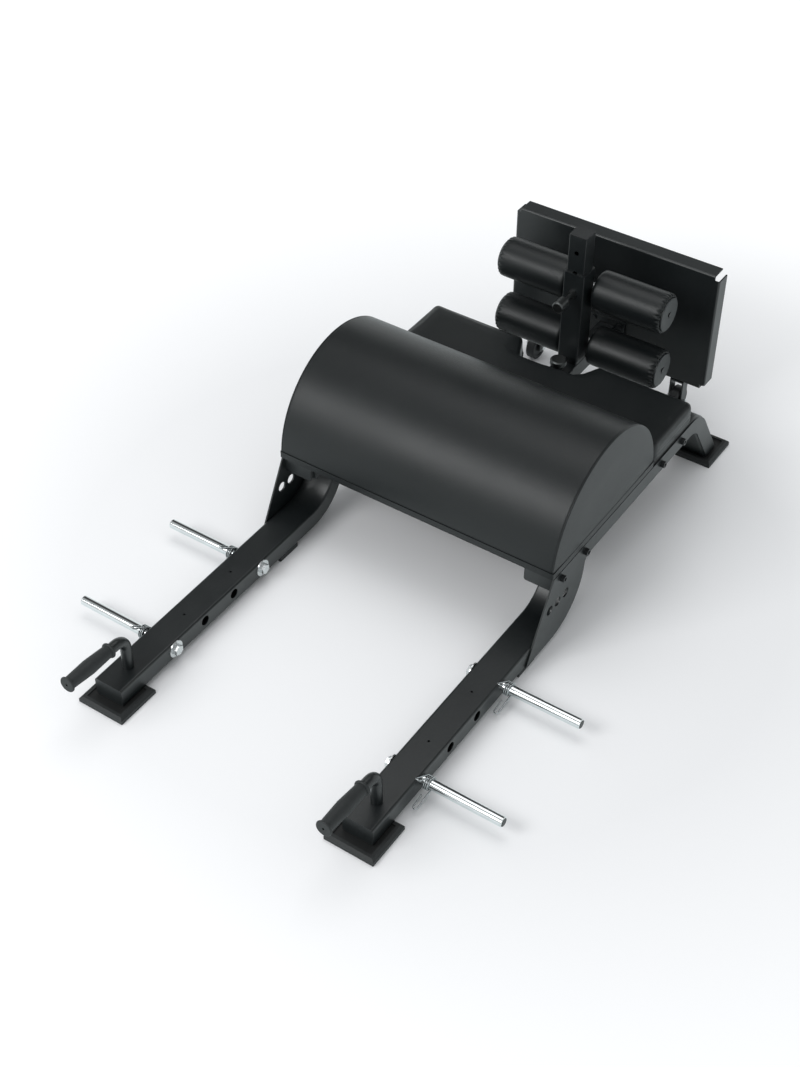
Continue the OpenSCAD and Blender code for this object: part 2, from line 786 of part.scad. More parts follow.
// Folded sheet with open corners and a flat face
module plate_foot() {
  side = foot_half_w - foot_notch;
  difference() {
    union() {
      translate([-foot_half_w + 20, foot_y, foot_z + 20])
        cube([2 * foot_half_w - 40, foot_t, foot_h - 40]);
      translate([-side, foot_y, foot_top_z]) rotate([90, 0, 90])
        linear_extrude(height = 2 * side) mirror([0, 1]) fold_section(foot_depth, 20);
      translate([-side, foot_y, foot_z]) rotate([90, 0, 90])
        linear_extrude(height = 2 * side) fold_section(foot_depth, 20);
      for (s = [-1, 1]) scale_x(s) translate([foot_half_w, foot_y, foot_z + foot_notch])
        linear_extrude(height = foot_h - 2 * foot_notch) rotate(90) fold_section(foot_depth, 20);
    }
    bracket_holes();
  }
}

module bolts_footplate() {
  bracket_places() {
    translate([0, -bracket_t, 0]) rotate([90, 0, 0]) cylinder(r = 8, h = 5);
    translate([0, 20, 0]) rotate([90, 0, 0]) cylinder(r = 5, h = 20 + bracket_t + 1);
    translate([0, foot_t, 0]) rotate([-90, 0, 0]) cylinder(r = 9, h = 8, $fn = 6);
  }
}

// Forks under the footplate
module forks_wheel() {
  for (s = [-1, 1]) translate([s * wheel_x, wheel_y, 0]) {
    for (f = [-20, 16]) translate([f, 0, 0]) rotate([90, 0, 90]) linear_extrude(height = 4)
      difference() {
        union() {
          translate([-15, wheel_z]) square([30, foot_z - wheel_z]);
          translate([0, wheel_z]) circle(r = 15);
        }
        translate([0, wheel_z]) circle(r = 5.2);
      }
    translate([-20, -15, foot_z - 5]) cube([40, 30, 5]);
  }
}

module axles_wheel() {
  for (s = [-1, 1]) translate([s * wheel_x, wheel_y, wheel_z]) {
    rod_x(-30, 21, 5);
    translate([20, 0, 0]) rotate([0, 90, 0]) cylinder(r = 9.2, h = 6.5, $fn = 6);
    translate([-28, 0, 0]) rotate([0, 90, 0]) cylinder(r = 9.2, h = 8, $fn = 6);
  }
}

// Wheel with a round-edged tread and a narrow hub
module wheel(side) {
  translate([side * wheel_x, wheel_y, wheel_z]) rotate([0, 90, 0]) rotate_extrude()
    difference() {
      union() {
        translate([0, -wheel_w / 2]) square([wheel_r - 4, wheel_w]);
        translate([0, 4 - wheel_w / 2]) square([wheel_r, wheel_w - 8]);
        for (t = [-1, 1]) translate([wheel_r - 4, t * (wheel_w / 2 - 4)]) circle(r = 4);
        translate([0, -15.7]) square([12, 31.4]);
      }
      translate([-100, -50]) square([100 + 5 + running_gap, 100]);
      for (t = [-1, 1]) translate([16, t * wheel_w / 2 - 3]) square([14, 6]);
    }
}

// Roller carrier: square sleeve with the pin hole
module sleeve() {
  difference() {
    translate([0, post_y, sleeve_z]) linear_extrude(height = sleeve_len)
      tube_section(sleeve_size, sleeve_size, sleeve_wall, 5);
    translate([0, post_y, pin_z]) rotate([90, 0, 0]) cylinder(r = pin_hole_r, h = sleeve_size);
  }
}

module liners_sleeve() {
  for (z = [sleeve_z, sleeve_z + sleeve_len - 20])
    translate([0, post_y, z]) liner_ring(20);
}

// Heights and sides of the four rollers
module at_roller(side, high) {
  scale_x(side) translate([0, axle_y, high ? roller_high_z : roller_low_z]) children();
}

// The axle bars are welded across the rear face of the sleeve
axle_y = post_y + sleeve_size / 2 + axle_r;
hub_end_x = roller_out_x - 1.3;
axle_end_x = hub_end_x - 0.3;

module axles_roller() {
  for (s = [-1, 1], high = [false, true]) at_roller(s, high) difference() {
    union() {
      rod_x(0, axle_end_x, axle_r);
      rod_x(sleeve_size / 2, roller_in_x - 2.3, 17);
    }
    rod_x(axle_end_x - 28, axle_end_x + 1, 5.1);
  }
}

// Shouldered end screw with a washer, sunk in the middle of each cap
module screws_roller() {
  seat = roller_out_x + cap_t - 2.2;
  for (s = [-1, 1], high = [false, true]) at_roller(s, high) {
    rod_x(seat, seat + 1.5, 8);
    rod_x(axle_end_x - 25, seat + 1, 5);
    translate([seat + 1.5, 0, 0]) rotate([0, 90, 0]) cylinder(r = 6, h = 3, $fn = 6);
  }
}

// Hub tube with its round end cap and inner flange
module hub(side, high) {
  at_roller(side, high) difference() {
    union() {
      rod_x(roller_in_x - 2, roller_out_x, hub_r);
      rod_x(roller_in_x - 2, roller_in_x, 30);
      rod_x(roller_out_x, roller_out_x + cap_t - 1, cap_r);
      translate([roller_out_x + cap_t - 1, 0, 0]) rotate([0, 90, 0])
        cylinder(r1 = cap_r, r2 = cap_r - 1, h = 1);
    }
    rod_x(roller_in_x - 3, hub_end_x, axle_r + running_gap);
    rod_x(hub_end_x - 1, roller_out_x + cap_t + 1, 5.4);
    rod_x(roller_out_x + cap_t - 2.5, roller_out_x + cap_t + 1, 9);
  }
}

// Roller padding with drawn-in, rounded ends
module roller(side, high) {
  at_roller(side, high) rotate([0, 90, 0]) translate([0, 0, roller_in_x + soft_gap])
    rotate_extrude() {
      len = roller_out_x - roller_in_x - 2 * soft_gap;
      e = 12;
      difference() {
        union() {
          translate([hub_r + soft_gap, 0]) square([roller_r - e - hub_r - soft_gap, len]);
          translate([roller_r - e - 1, e]) square([e + 1, len - 2 * e]);
          for (y = [e, len - e]) translate([roller_r - e, y]) circle(r = e);
        }
        translate([-100, -50]) square([100 + hub_r + soft_gap, len + 100]);
      }
    }
}

module barrel_sleeve_pin() {
  translate([0, sleeve_front_y, pin_z]) rotate([90, 0, 0]) difference() {
    union() {
      cylinder(r = 11, h = 12);
      cylinder(r = 13, h = 5, $fn = 6);
    }
    translate([0, 0, -1]) cylinder(r = pin_bore_r, h = 20);
  }
}

// Pull pin drawn along +z from its tip to its knob
module pull_pin(knob_start, knob_r, knob_h) {
  cylinder(r1 = pin_r - 1.2, r2 = pin_r, h = 1.2);
  translate([0, 0, 1.2]) cylinder(r = pin_r, h = knob_start);
  translate([0, 0, knob_start]) cylinder(r1 = knob_r - 2, r2 = knob_r, h = 2);
  translate([0, 0, knob_start + 2]) cylinder(r = knob_r, h = knob_h - 5);
  translate([0, 0, knob_start + knob_h - 3]) cylinder(r1 = knob_r, r2 = knob_r - 3, h = 3);
}

module pin_sleeve() {
  translate([0, post_front_y - tip_gap, pin_z]) rotate([90, 0, 0]) pull_pin(46, 16, 36);
}

module barrel_carriage_pin() {
  translate([0, carriage_pin_y, rail_top_z]) difference() {
    union() {
      cylinder(r = 13, h = 12);
      cylinder(r = 15, h = 5, $fn = 6);
    }
    translate([0, 0, -1]) cylinder(r = pin_bore_r, h = 20);
  }
}

module pin_carriage() {
  translate([0, carriage_pin_y, slide_top_z + tip_gap]) pull_pin(28, 22, 17);
}

// Centreline of a collar: first handle, coil, second handle. x runs along the peg,
// angles are measured around the peg axis from the front, positive upwards.
coil_steps = 14;
first_angle = 37;
second_angle = -10;

// Rings of the wire: one round section square to each point of its centreline
function wire_ring(p, q, k) = let (
    t = (q - p) / norm(q - p),
    e = abs(t[0]) < 0.8 ? cross(t, [1, 0, 0]) : cross(t, [0, 1, 0]),
    f = e / norm(e),
    g = cross(f, t)
  ) [for (i = [0:k - 1]) wire_r * (cos(360 * i / k) * f + sin(360 * i / k) * g)];

// Angle of the coil at turn position t, seen around the peg
function coil_point(t) = [t * coil_pitch / 360, -coil_r * cos(t), coil_r * sin(t)];

coil_start = 90 + first_angle;
coil_end = 270 + second_angle + 360 * coil_turns;
coil_last = round((coil_end - coil_start) * coil_steps / 360);
coil_points = [
  for (i = [0:coil_last])
    let (t = coil_start + i * (coil_end - coil_start) / coil_last)
    coil_point(t) - [coil_start * coil_pitch / 360, 0, 0]
];

// Whole centreline of a collar
collar_path = let (
    head = loop_from(coil_start, 0, 11, -1),
    tail = loop_from(coil_end, coil_points[coil_last][0], -11, 1)
  ) concat([for (k = [len(head) - 1:-1:0]) head[k]], coil_points, tail);

// Shortest gap of the wire to itself
coil_gap = min([for (i = [0:len(collar_path) - 1], j = [0:len(collar_path) - 1])
  if (j - i > 4) norm(collar_path[j] - collar_path[i])]) - 2 * wire_r;
echo(coil_gap = coil_gap);

// A collar wound round its peg, with two looped handles
module collar(side, i) {
  m = len(collar_path) - 1;
  sides = 6;
  rings = [for (k = [0:m]) let (
      a = collar_path[max(k - 1, 0)],
      b = collar_path[min(k + 1, m)],
      ring = wire_ring(a, b, sides)
    ) [for (p = ring) collar_path[k] + p]];
  scale_x(side) translate([collar_in_x + wire_r, peg_first_y + i * peg_pitch, peg_z])
    ring_skin(rings);
}

// Handle that leaves the coil along its tangent at angle t, turning forwards or backwards
function loop_from(t, x, dx, dir) = let (
    c = [0, -coil_r * cos(t), coil_r * sin(t)],
    u = dir * [0, sin(t), cos(t)],
    w = dx / 2
  ) concat(
    [for (d = [10, 24, 38, 52]) [x, 0, 0] + c + u * d],
    [for (a = [-60, -30, 0, 30, 60])
      [x + w + w * sin(a), 0, 0] + c + u * (loop_len - 8 + abs(w) * cos(a))],
    [for (d = [50, 38, 26]) [x + dx, 0, 0] + c + u * d]
  );

color(frame_paint) place() leg(-1);  // left_leg
color(frame_paint) place() leg(1);  // right_leg
color(frame_paint) place() rail(-1);  // left_rail
color(frame_paint) place() rail(1);  // right_rail
color(frame_paint) place() side_plate(-1);  // left_side_plate
color(frame_paint) place() side_plate(1);  // right_side_plate
color(frame_paint) place() front_cross();  // front_cross_member
color(frame_paint) place() rear_cross(-1);  // rear_cross_left
color(frame_paint) place() rear_cross(1);  // rear_cross_right
color(plastic) place() bolts_frame();  // frame_bolts
color(frame_paint) place() rail_center();  // center_rail
color(plastic) place() liners_rail();  // rail_liners
color(rubber) place() rubber_foot(-half_track, -2, 80);  // front_left_foot
color(rubber) place() rubber_foot(half_track, -2, 80);  // front_right_foot
color(rubber) place() rubber_foot(-half_track, rear_foot_y, 30);  // rear_left_foot
color(rubber) place() rubber_foot(half_track, rear_foot_y, 30);  // rear_right_foot
color(rubber) place() pads_underbeam();  // underbeam_pads
color(frame_paint) place() handle(-1);  // left_handle
color(frame_paint) place() handle(1);  // right_handle
color(rubber) place() grip(-1);  // left_grip
color(rubber) place() grip(1);  // right_grip
color(steel) place() peg(-1, 0);  // front_left_peg
color(steel) place() peg(1, 0);  // front_right_peg
color(steel) place() peg(-1, 3);  // rear_left_peg
color(steel) place() peg(1, 3);  // rear_right_peg
color(steel) place() fasteners_peg();  // peg_fasteners
color(vinyl) place() pad_cylinder();  // cylinder_pad
color(wood) place() board_cylinder();  // cylinder_board
color(vinyl) place() pad_flat();  // flat_pad
color(wood) place() board_flat();  // flat_board
color(steel) place() bolts_board();  // board_bolts
color(frame_paint) place() tube_carriage();  // carriage_tube
color(frame_paint) place() post_roller();  // roller_post
color(plastic) place() cap_post();  // post_cap
color(frame_paint) place() plate_foot();  // footplate
color(plastic) place() bolts_footplate();  // footplate_bolts
color(frame_paint) place() forks_wheel();  // wheel_forks
color(steel) place() axles_wheel();  // wheel_axles
color(rubber) place() wheel(-1);  // left_wheel
color(rubber) place() wheel(1);  // right_wheel
color(frame_paint) place() sleeve();  // roller_sleeve
color(plastic) place() liners_sleeve();  // sleeve_liners
color(steel) place() axles_roller();  // roller_axles
color(steel) place() screws_roller();  // roller_screws
color(plastic) place() hub(-1, true);  // upper_left_hub
color(plastic) place() hub(1, true);  // upper_right_hub
color(plastic) place() hub(-1, false);  // lower_left_hub
color(plastic) place() hub(1, false);  // lower_right_hub
color(vinyl) place() roller(-1, true);  // upper_left_roller
color(vinyl) place() roller(1, true);  // upper_right_roller
color(vinyl) place() roller(-1, false);  // lower_left_roller
color(vinyl) place() roller(1, false);  // lower_right_roller
color(steel) place() barrel_sleeve_pin();  // sleeve_pin_barrel
color(steel) place() pin_sleeve();  // sleeve_pin
color(steel) place() barrel_carriage_pin();  // carriage_pin_barrel
color(steel) place() pin_carriage();  // carriage_pin
color(steel) place() collar(-1, 0);  // front_left_collar
color(steel) place() collar(1, 0);  // front_right_collar
color(steel) place() collar(-1, 3);  // rear_left_collar
color(steel) place() collar(1, 3);  // rear_right_collar
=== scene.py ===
"""Looks of a glute ham developer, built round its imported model."""
import json
import logging
import math
from dataclasses import dataclass
from enum import Enum
from typing import Callable, Sequence

import bpy
from mathutils import Matrix, Vector


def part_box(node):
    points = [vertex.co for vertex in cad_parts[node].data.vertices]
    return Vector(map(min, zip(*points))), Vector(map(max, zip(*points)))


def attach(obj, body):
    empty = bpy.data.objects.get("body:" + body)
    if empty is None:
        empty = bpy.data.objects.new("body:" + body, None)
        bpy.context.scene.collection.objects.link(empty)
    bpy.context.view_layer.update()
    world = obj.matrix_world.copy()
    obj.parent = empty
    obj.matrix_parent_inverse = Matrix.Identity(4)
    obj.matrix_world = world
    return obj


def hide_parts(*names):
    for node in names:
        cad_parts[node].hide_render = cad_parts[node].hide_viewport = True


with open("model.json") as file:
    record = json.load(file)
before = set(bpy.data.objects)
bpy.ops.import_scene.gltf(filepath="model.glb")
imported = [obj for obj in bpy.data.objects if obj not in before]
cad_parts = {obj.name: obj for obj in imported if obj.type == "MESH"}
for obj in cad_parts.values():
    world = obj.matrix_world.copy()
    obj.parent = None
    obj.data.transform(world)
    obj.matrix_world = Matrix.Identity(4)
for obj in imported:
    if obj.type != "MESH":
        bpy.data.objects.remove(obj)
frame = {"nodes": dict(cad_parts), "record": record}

log = logging.getLogger("machine")
Triple = tuple[float, float, float]
MERGE = 1e-6
CLOTH_FRAMES = 20
CLOTH_QUALITY = 6
CLOTH_MASS = 0.3


class Slot(str, Enum):
    """Material slots of the record."""

    FRAME = "frame_paint"
    BLACK_STEEL = "black_fasteners"
    LINER = "liner_plastic"
    FOOT = "foot_rubber"
    GRIP = "grip_rubber"
    PEG = "peg_chrome"
    ZINC = "zinc_fasteners"
    VINYL = "pad_vinyl"
    BOARD = "board_wood"
    WHEEL = "wheel_rubber"
    STEEL = "axle_steel"
    CAP = "hub_plastic"
    PIN = "pin_steel"
    WIRE = "collar_wire"


class Body(str, Enum):
    """Moving bodies that new pieces ride on."""

    FRAME = "frame"


class Element(Enum):
    """Kinds of mesh element that edit mode selects."""

    VERT = "VERT"
    EDGE = "EDGE"
    FACE = "FACE"


def leave_edit() -> None:
    """Goes back to object mode with nothing selected."""
    if bpy.context.mode != "OBJECT":
        bpy.ops.object.mode_set(mode="OBJECT")
    bpy.ops.object.select_all(action="DESELECT")


def take(piece: bpy.types.Object) -> bpy.types.Object:
    """Makes a piece the only selected and active one."""
    leave_edit()
    piece.select_set(True)
    bpy.context.view_layer.objects.active = piece
    return piece


def fresh(name: str) -> bpy.types.Object:
    """Names the primitive that was just added and freezes its place into its mesh.

    Args:
        name: name of the new piece.

    Returns:
        The piece, selected and active.
    """
    piece = bpy.context.active_object
    piece.name = name
    piece.data.name = name
    bpy.ops.object.transform_apply(location=True, rotation=True, scale=True)
    return piece


def edit(piece: bpy.types.Object, kind: Element = Element.FACE) -> None:
    """Opens a piece in edit mode with nothing selected."""
    take(piece)
    bpy.ops.object.mode_set(mode="EDIT")
    bpy.ops.mesh.select_mode(type=kind.value)
    bpy.ops.mesh.select_all(action="DESELECT")


def finish_with(piece: bpy.types.Object, kind: str, **settings: object) -> None:
    """Adds one modifier, sets it and applies it."""
    take(piece)
    modifier = piece.modifiers.new(kind.lower(), kind)
    for key, value in settings.items():
        setattr(modifier, key, value)
    bpy.ops.object.modifier_apply(modifier=modifier.name)


def smooth(piece: bpy.types.Object, angle: float) -> None:
    """Shades a piece smooth up to an angle in degrees."""
    take(piece)
    bpy.ops.object.shade_smooth_by_angle(angle=math.radians(angle))
    leave_edit()


def outward(piece: bpy.types.Object) -> None:
    """Merges doubles and turns every face of a piece outwards."""
    edit(piece)
    bpy.ops.mesh.select_all(action="SELECT")
    bpy.ops.mesh.remove_doubles(threshold=MERGE)
    bpy.ops.mesh.normals_make_consistent(inside=False)
    leave_edit()


def twin(piece: bpy.types.Object, name: str, move: Matrix) -> bpy.types.Object:
    """Copies a finished piece with its own mesh and moves that mesh.

    Args:
        piece: the finished piece.
        name: name of the copy.
        move: where the copy goes, from the place of the piece.

    Returns:
        The copy, at the origin like its model.
    """
    copy = bpy.data.objects.new(name, piece.data.copy())
    copy.data.name = name
    copy.data.transform(move)
    if move.determinant() < 0:
        copy.data.flip_normals()
    bpy.context.scene.collection.objects.link(copy)
    return copy


def copy_node(node: str, name: str) -> bpy.types.Object:
    """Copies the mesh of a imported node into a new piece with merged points."""
    piece = bpy.data.objects.new(name, frame["nodes"][node].data.copy())
    piece.data.materials.clear()
    bpy.context.scene.collection.objects.link(piece)
    edit(piece)
    bpy.ops.mesh.select_all(action="SELECT")
    bpy.ops.mesh.remove_doubles(threshold=MERGE)
    leave_edit()
    return piece


def ring_up(
    name: str, rows: Sequence[tuple[float, float]], around: int, axis: Vector,
) -> bpy.types.Object:
    """Extrudes a circle along X through rings of given radius.

    Args:
        name: name of the new piece.
        rows: place along X and radius of each ring.
        around: points in each ring.
        axis: a point on the axis of the rings.

    Returns:
        The open shell, out of edit mode.
    """
    leave_edit()
    bpy.ops.mesh.primitive_circle_add(
        vertices=around, radius=rows[0][1], location=(rows[0][0], axis.y, axis.z),
        rotation=(0, math.pi / 2, 0),
    )
    piece = fresh(name)
    edit(piece, Element.VERT)
    bpy.ops.mesh.select_all(action="SELECT")
    for before, after in zip(rows, rows[1:]):
        step = (after[0] - before[0], 0, 0)
        bpy.ops.mesh.extrude_region_move(TRANSFORM_OT_translate={"value": step})
        ratio = after[1] / before[1]
        bpy.ops.transform.resize(
            value=(1, ratio, ratio), center_override=(after[0], axis.y, axis.z),
        )
    leave_edit()
    return piece


def inflate(
    piece: bpy.types.Object, held: Callable[[Vector], float], pressure: float, cap: float,
) -> None:
    """Blows a skin up between its held places and keeps each point within a cap.

    Args:
        piece: the piece whose skin swells.
        held: how firmly a point is held, from 0 to 1.
        pressure: pressure of the filling.
        cap: the farthest that a point may move, in metres.
    """
    take(piece)
    start = [v.co.copy() for v in piece.data.vertices]
    group = piece.vertex_groups.new(name="held")
    for i, point in enumerate(start):
        weight = held(point)
        if weight > 0:
            group.add([i], weight, "REPLACE")
    cloth = piece.modifiers.new("swell", "CLOTH")
    cloth.settings.quality = CLOTH_QUALITY
    cloth.settings.mass = CLOTH_MASS
    cloth.settings.use_pressure = True
    cloth.settings.uniform_pressure_force = pressure
    cloth.settings.effector_weights.gravity = 0
    cloth.settings.vertex_group_mass = "held"
    cloth.point_cache.frame_start = 1
    cloth.point_cache.frame_end = CLOTH_FRAMES
    for step in range(1, CLOTH_FRAMES + 1):
        bpy.context.scene.frame_set(step)
    bpy.ops.object.modifier_apply(modifier=cloth.name)
    bpy.context.scene.frame_set(1)
    for vert, old in zip(piece.data.vertices, start):
        way = vert.co - old
        if way.length > cap:
            vert.co = old + way * (cap / way.length)
    piece.vertex_groups.remove(piece.vertex_groups["held"])
    leave_edit()


class Graph:
    """A node tree with short ways to add nodes and join them."""

    def __init__(self, tree: bpy.types.NodeTree) -> None:
        """Takes the tree that the nodes go into."""
        self.tree = tree

    def add(self, kind: str, **values: object) -> bpy.types.Node:
        """Adds a node and sets its attributes."""
        node = self.tree.nodes.new(kind)
        for key, value in values.items():
            setattr(node, key, value)
        return node

    def put(self, target: bpy.types.NodeSocket, value: object) -> None:
        """Joins a socket to another, or gives it a constant."""
        if isinstance(value, bpy.types.NodeSocket):
            self.tree.links.new(value, target)
        else:
            target.default_value = value

    def math(self, operation: str, a: object, b: object = 0.0) -> bpy.types.NodeSocket:
        """Adds one sum on numbers and returns its result."""
        node = self.add("ShaderNodeMath", operation=operation)
        for socket, value in zip(node.inputs, (a, b)):
            self.put(socket, value)
        return node.outputs[0]

    def spread(
        self, value: object, low: float, high: float, to_low: float, to_high: float,
    ) -> bpy.types.NodeSocket:
        """Maps a number from one range to another, held at both ends."""
        node = self.add("ShaderNodeMapRange", clamp=True)
        keys = ("Value", "From Min", "From Max", "To Min", "To Max")
        for key, number in zip(keys, (value, low, high, to_low, to_high)):
            self.put(node.inputs[key], number)
        return node.outputs["Result"]

    def split(self, vector: object) -> bpy.types.NodeOutputs:
        """Splits a vector and returns its X, Y and Z sockets."""
        node = self.add("ShaderNodeSeparateXYZ")
        self.put(node.inputs[0], vector)
        return node.outputs

    def tint(self, factor: object, first: object, second: object) -> bpy.types.NodeSocket:
        """Mixes two colours."""
        node = self.add("ShaderNodeMix", data_type="RGBA")
        self.put(node.inputs[0], factor)
        self.put(node.inputs[6], first)
        self.put(node.inputs[7], second)
        return node.outputs[2]

    def noise(
        self, place: object, scale: object, detail: float = 2.0, roughness: float = 0.5,
    ) -> bpy.types.NodeSocket:
        """Adds a noise pattern and returns its value."""
        node = self.add("ShaderNodeTexNoise")
        self.put(node.inputs["Vector"], place)
        self.put(node.inputs["Scale"], scale)
        node.inputs["Detail"].default_value = detail
        node.inputs["Roughness"].default_value = roughness
        return node.outputs["Fac"]


def rgb(r: float, g: float, b: float) -> tuple[float, float, float, float]:
    """A colour with full alpha."""
    return (r, g, b, 1.0)


class Effect:
    """Surface effects that several finishes share, each one node group built once."""

    @staticmethod
    def start(
        name: str, inputs: Sequence[tuple[str, str, float]], outputs: Sequence[tuple[str, str]],
    ) -> tuple[bpy.types.NodeTree, Graph, bpy.types.Node, bpy.types.Node]:
        """Makes an empty group with its sockets.

        Args:
            name: name of the group.
            inputs: name, socket type and default of each input.
            outputs: name and socket type of each output.

        Returns:
            The tree, its graph, and its input and output nodes.
        """
        tree = bpy.data.node_groups.new(name, "ShaderNodeTree")
        for label, kind, value in inputs:
            socket = tree.interface.new_socket(name=label, in_out="INPUT", socket_type=kind)
            if kind == "NodeSocketFloat":
                socket.default_value = value
        for label, kind in outputs:
            tree.interface.new_socket(name=label, in_out="OUTPUT", socket_type=kind)
        graph = Graph(tree)
        return tree, graph, graph.add("NodeGroupInput"), graph.add("NodeGroupOutput")

    @classmethod
    def grain(cls) -> bpy.types.NodeTree:
        """Fine texture of sprayed powder or moulded plastic, as a height."""
        tree = bpy.data.node_groups.get("fine_grain")
        if tree:
            return tree
        tree, g, source, out = cls.start(
            "fine_grain",
            [("Vector", "NodeSocketVector", 0), ("Scale", "NodeSocketFloat", 900)],
            [("Height", "NodeSocketFloat")],
        )
        coarse = g.noise(source.outputs["Vector"], source.outputs["Scale"], 3.0, 0.55)
        fine_scale = g.math("MULTIPLY", source.outputs["Scale"], 2.7)
        fine = g.noise(source.outputs["Vector"], fine_scale, 2.0, 0.5)
        both = g.math("ADD", g.math("MULTIPLY", coarse, 0.65), g.math("MULTIPLY", fine, 0.35))
        g.put(out.inputs["Height"], both)
        return tree

    @classmethod
    def pebble(cls) -> bpy.types.NodeTree:
        """Embossed pebbles of vinyl, with the creases between them."""
        tree = bpy.data.node_groups.get("pebble_emboss")
        if tree:
            return tree
        tree, g, source, out = cls.start(
            "pebble_emboss",
            [("Vector", "NodeSocketVector", 0), ("Scale", "NodeSocketFloat", 700)],
            [("Height", "NodeSocketFloat"), ("Crease", "NodeSocketFloat")],
        )
        sway_scale = g.math("MULTIPLY", source.outputs["Scale"], 0.35)
        sway = g.noise(source.outputs["Vector"], sway_scale, 2.0)
        bent = g.add("ShaderNodeVectorMath", operation="ADD")
        g.put(bent.inputs[0], source.outputs["Vector"])
        g.put(bent.inputs[1], g.math("MULTIPLY", g.math("SUBTRACT", sway, 0.5), 0.0012))
        cells = g.add("ShaderNodeTexVoronoi", feature="DISTANCE_TO_EDGE")
        g.put(cells.inputs["Vector"], bent.outputs[0])
        g.put(cells.inputs["Scale"], source.outputs["Scale"])
        cells.inputs["Randomness"].default_value = 1.0
        rise = g.spread(cells.outputs["Distance"], 0.0, 0.22, 0.0, 1.0)
        g.put(out.inputs["Height"], rise)
        g.put(out.inputs["Crease"], g.math("SUBTRACT", 1.0, rise))
        return tree

    @classmethod
    def mottle(cls) -> bpy.types.NodeTree:
        """Broad uneven patches, as from handling and light soiling."""
        tree = bpy.data.node_groups.get("broad_mottle")
        if tree:
            return tree
        tree, g, source, out = cls.start(
            "broad_mottle",
            [("Vector", "NodeSocketVector", 0), ("Scale", "NodeSocketFloat", 6)],
            [("Mask", "NodeSocketFloat")],
        )
        broad = g.noise(source.outputs["Vector"], source.outputs["Scale"], 4.0, 0.6)
        g.put(out.inputs["Mask"], g.spread(broad, 0.3, 0.7, 0.0, 1.0))
        return tree

    @classmethod
    def dust(cls) -> bpy.types.NodeTree:
        """Fine dust that settles on faces that look up."""
        tree = bpy.data.node_groups.get("settled_dust")
        if tree:
            return tree
        tree, g, source, out = cls.start(
            "settled_dust",
            [("Vector", "NodeSocketVector", 0), ("Amount", "NodeSocketFloat", 0.1)],
            [("Mask", "NodeSocketFloat")],
        )
        normal = g.split(g.add("ShaderNodeNewGeometry").outputs["Normal"])
        up = g.spread(normal["Z"], 0.55, 1.0, 0.0, 1.0)
        speck = g.spread(g.noise(source.outputs["Vector"], 260.0, 4.0, 0.7), 0.45, 0.8, 0.0, 1.0)
        patch = g.spread(g.noise(source.outputs["Vector"], 7.0, 3.0, 0.6), 0.3, 0.75, 0.2, 1.0)
        layer = g.math("MULTIPLY", up, source.outputs["Amount"])
        g.put(out.inputs["Mask"], g.math("MULTIPLY", layer, g.math("MULTIPLY", speck, patch)))
        return tree

    @classmethod
    def scratch(cls) -> bpy.types.NodeTree:
        """Thin crossing rub marks, as on plated steel."""
        tree = bpy.data.node_groups.get("rub_marks")
        if tree:
            return tree
        tree, g, source, out = cls.start(
            "rub_marks",
            [("Vector", "NodeSocketVector", 0), ("Scale", "NodeSocketFloat", 60)],
            [("Mask", "NodeSocketFloat")],
        )
        marks = []
        ways = (((0.3, 0.1, 0.4), (1.0, 18.0, 1.0)), ((1.1, 0.7, 2.0), (14.0, 1.0, 1.0)))
        for turn, stretch in ways:
            turned = g.add("ShaderNodeMapping")
            g.put(turned.inputs["Vector"], source.outputs["Vector"])
            turned.inputs["Rotation"].default_value = turn
            turned.inputs["Scale"].default_value = stretch
            streaks = g.noise(turned.outputs[0], source.outputs["Scale"], 2.0, 0.6)
            marks.append(g.spread(streaks, 0.6, 0.72, 0.0, 1.0))
        g.put(out.inputs["Mask"], g.math("MAXIMUM", marks[0], marks[1]))
        return tree


class Shader:
    """One material being built: its graph, its object coordinates and its surface."""

    def __init__(self, name: str) -> None:
        """Opens an empty material of that name."""
        self.material = bpy.data.materials.new(name)
        self.material.use_nodes = True
        self.material.node_tree.nodes.clear()
        self.g = Graph(self.material.node_tree)
        self.surface = self.g.add("ShaderNodeBsdfPrincipled")
        out = self.g.add("ShaderNodeOutputMaterial")
        self.g.put(out.inputs["Surface"], self.surface.outputs[0])
        self.place = self.g.add("ShaderNodeTexCoord").outputs["Object"]

    def set(self, label: str, value: object) -> None:
        """Sets or joins one input of the surface."""
        self.g.put(self.surface.inputs[label], value)

    def effect(
        self, tree: bpy.types.NodeTree, output: str, **values: object,
    ) -> bpy.types.NodeSocket:
        """Places a shared effect with its own values and returns one output."""
        node = self.g.add("ShaderNodeGroup", node_tree=tree)
        self.g.put(node.inputs["Vector"], self.place)
        for key, value in values.items():
            self.g.put(node.inputs[key], value)
        return node.outputs[output]

    def sunk(self, level: float) -> bpy.types.NodeSocket:
        """Masks the flat faces that look up from below a height, where painted shade goes."""
        place = self.g.split(self.place)
        normal = self.g.split(self.g.add("ShaderNodeNewGeometry").outputs["Normal"])
        below = self.g.math("LESS_THAN", place["Z"], level)
        return self.g.math("MULTIPLY", below, self.g.math("GREATER_THAN", normal["Z"], 0.98))

    def bump(
        self, height: object, distance: float, strength: float, under: object = None,
    ) -> bpy.types.NodeSocket:
        """Turns a height, worth the distance in metres at 1, into a normal, over another."""
        node = self.g.add("ShaderNodeBump")
        self.g.put(node.inputs["Height"], height)
        node.inputs["Distance"].default_value = distance
        node.inputs["Strength"].default_value = strength
        if under is not None:
            self.g.put(node.inputs["Normal"], under)
        return node.outputs["Normal"]


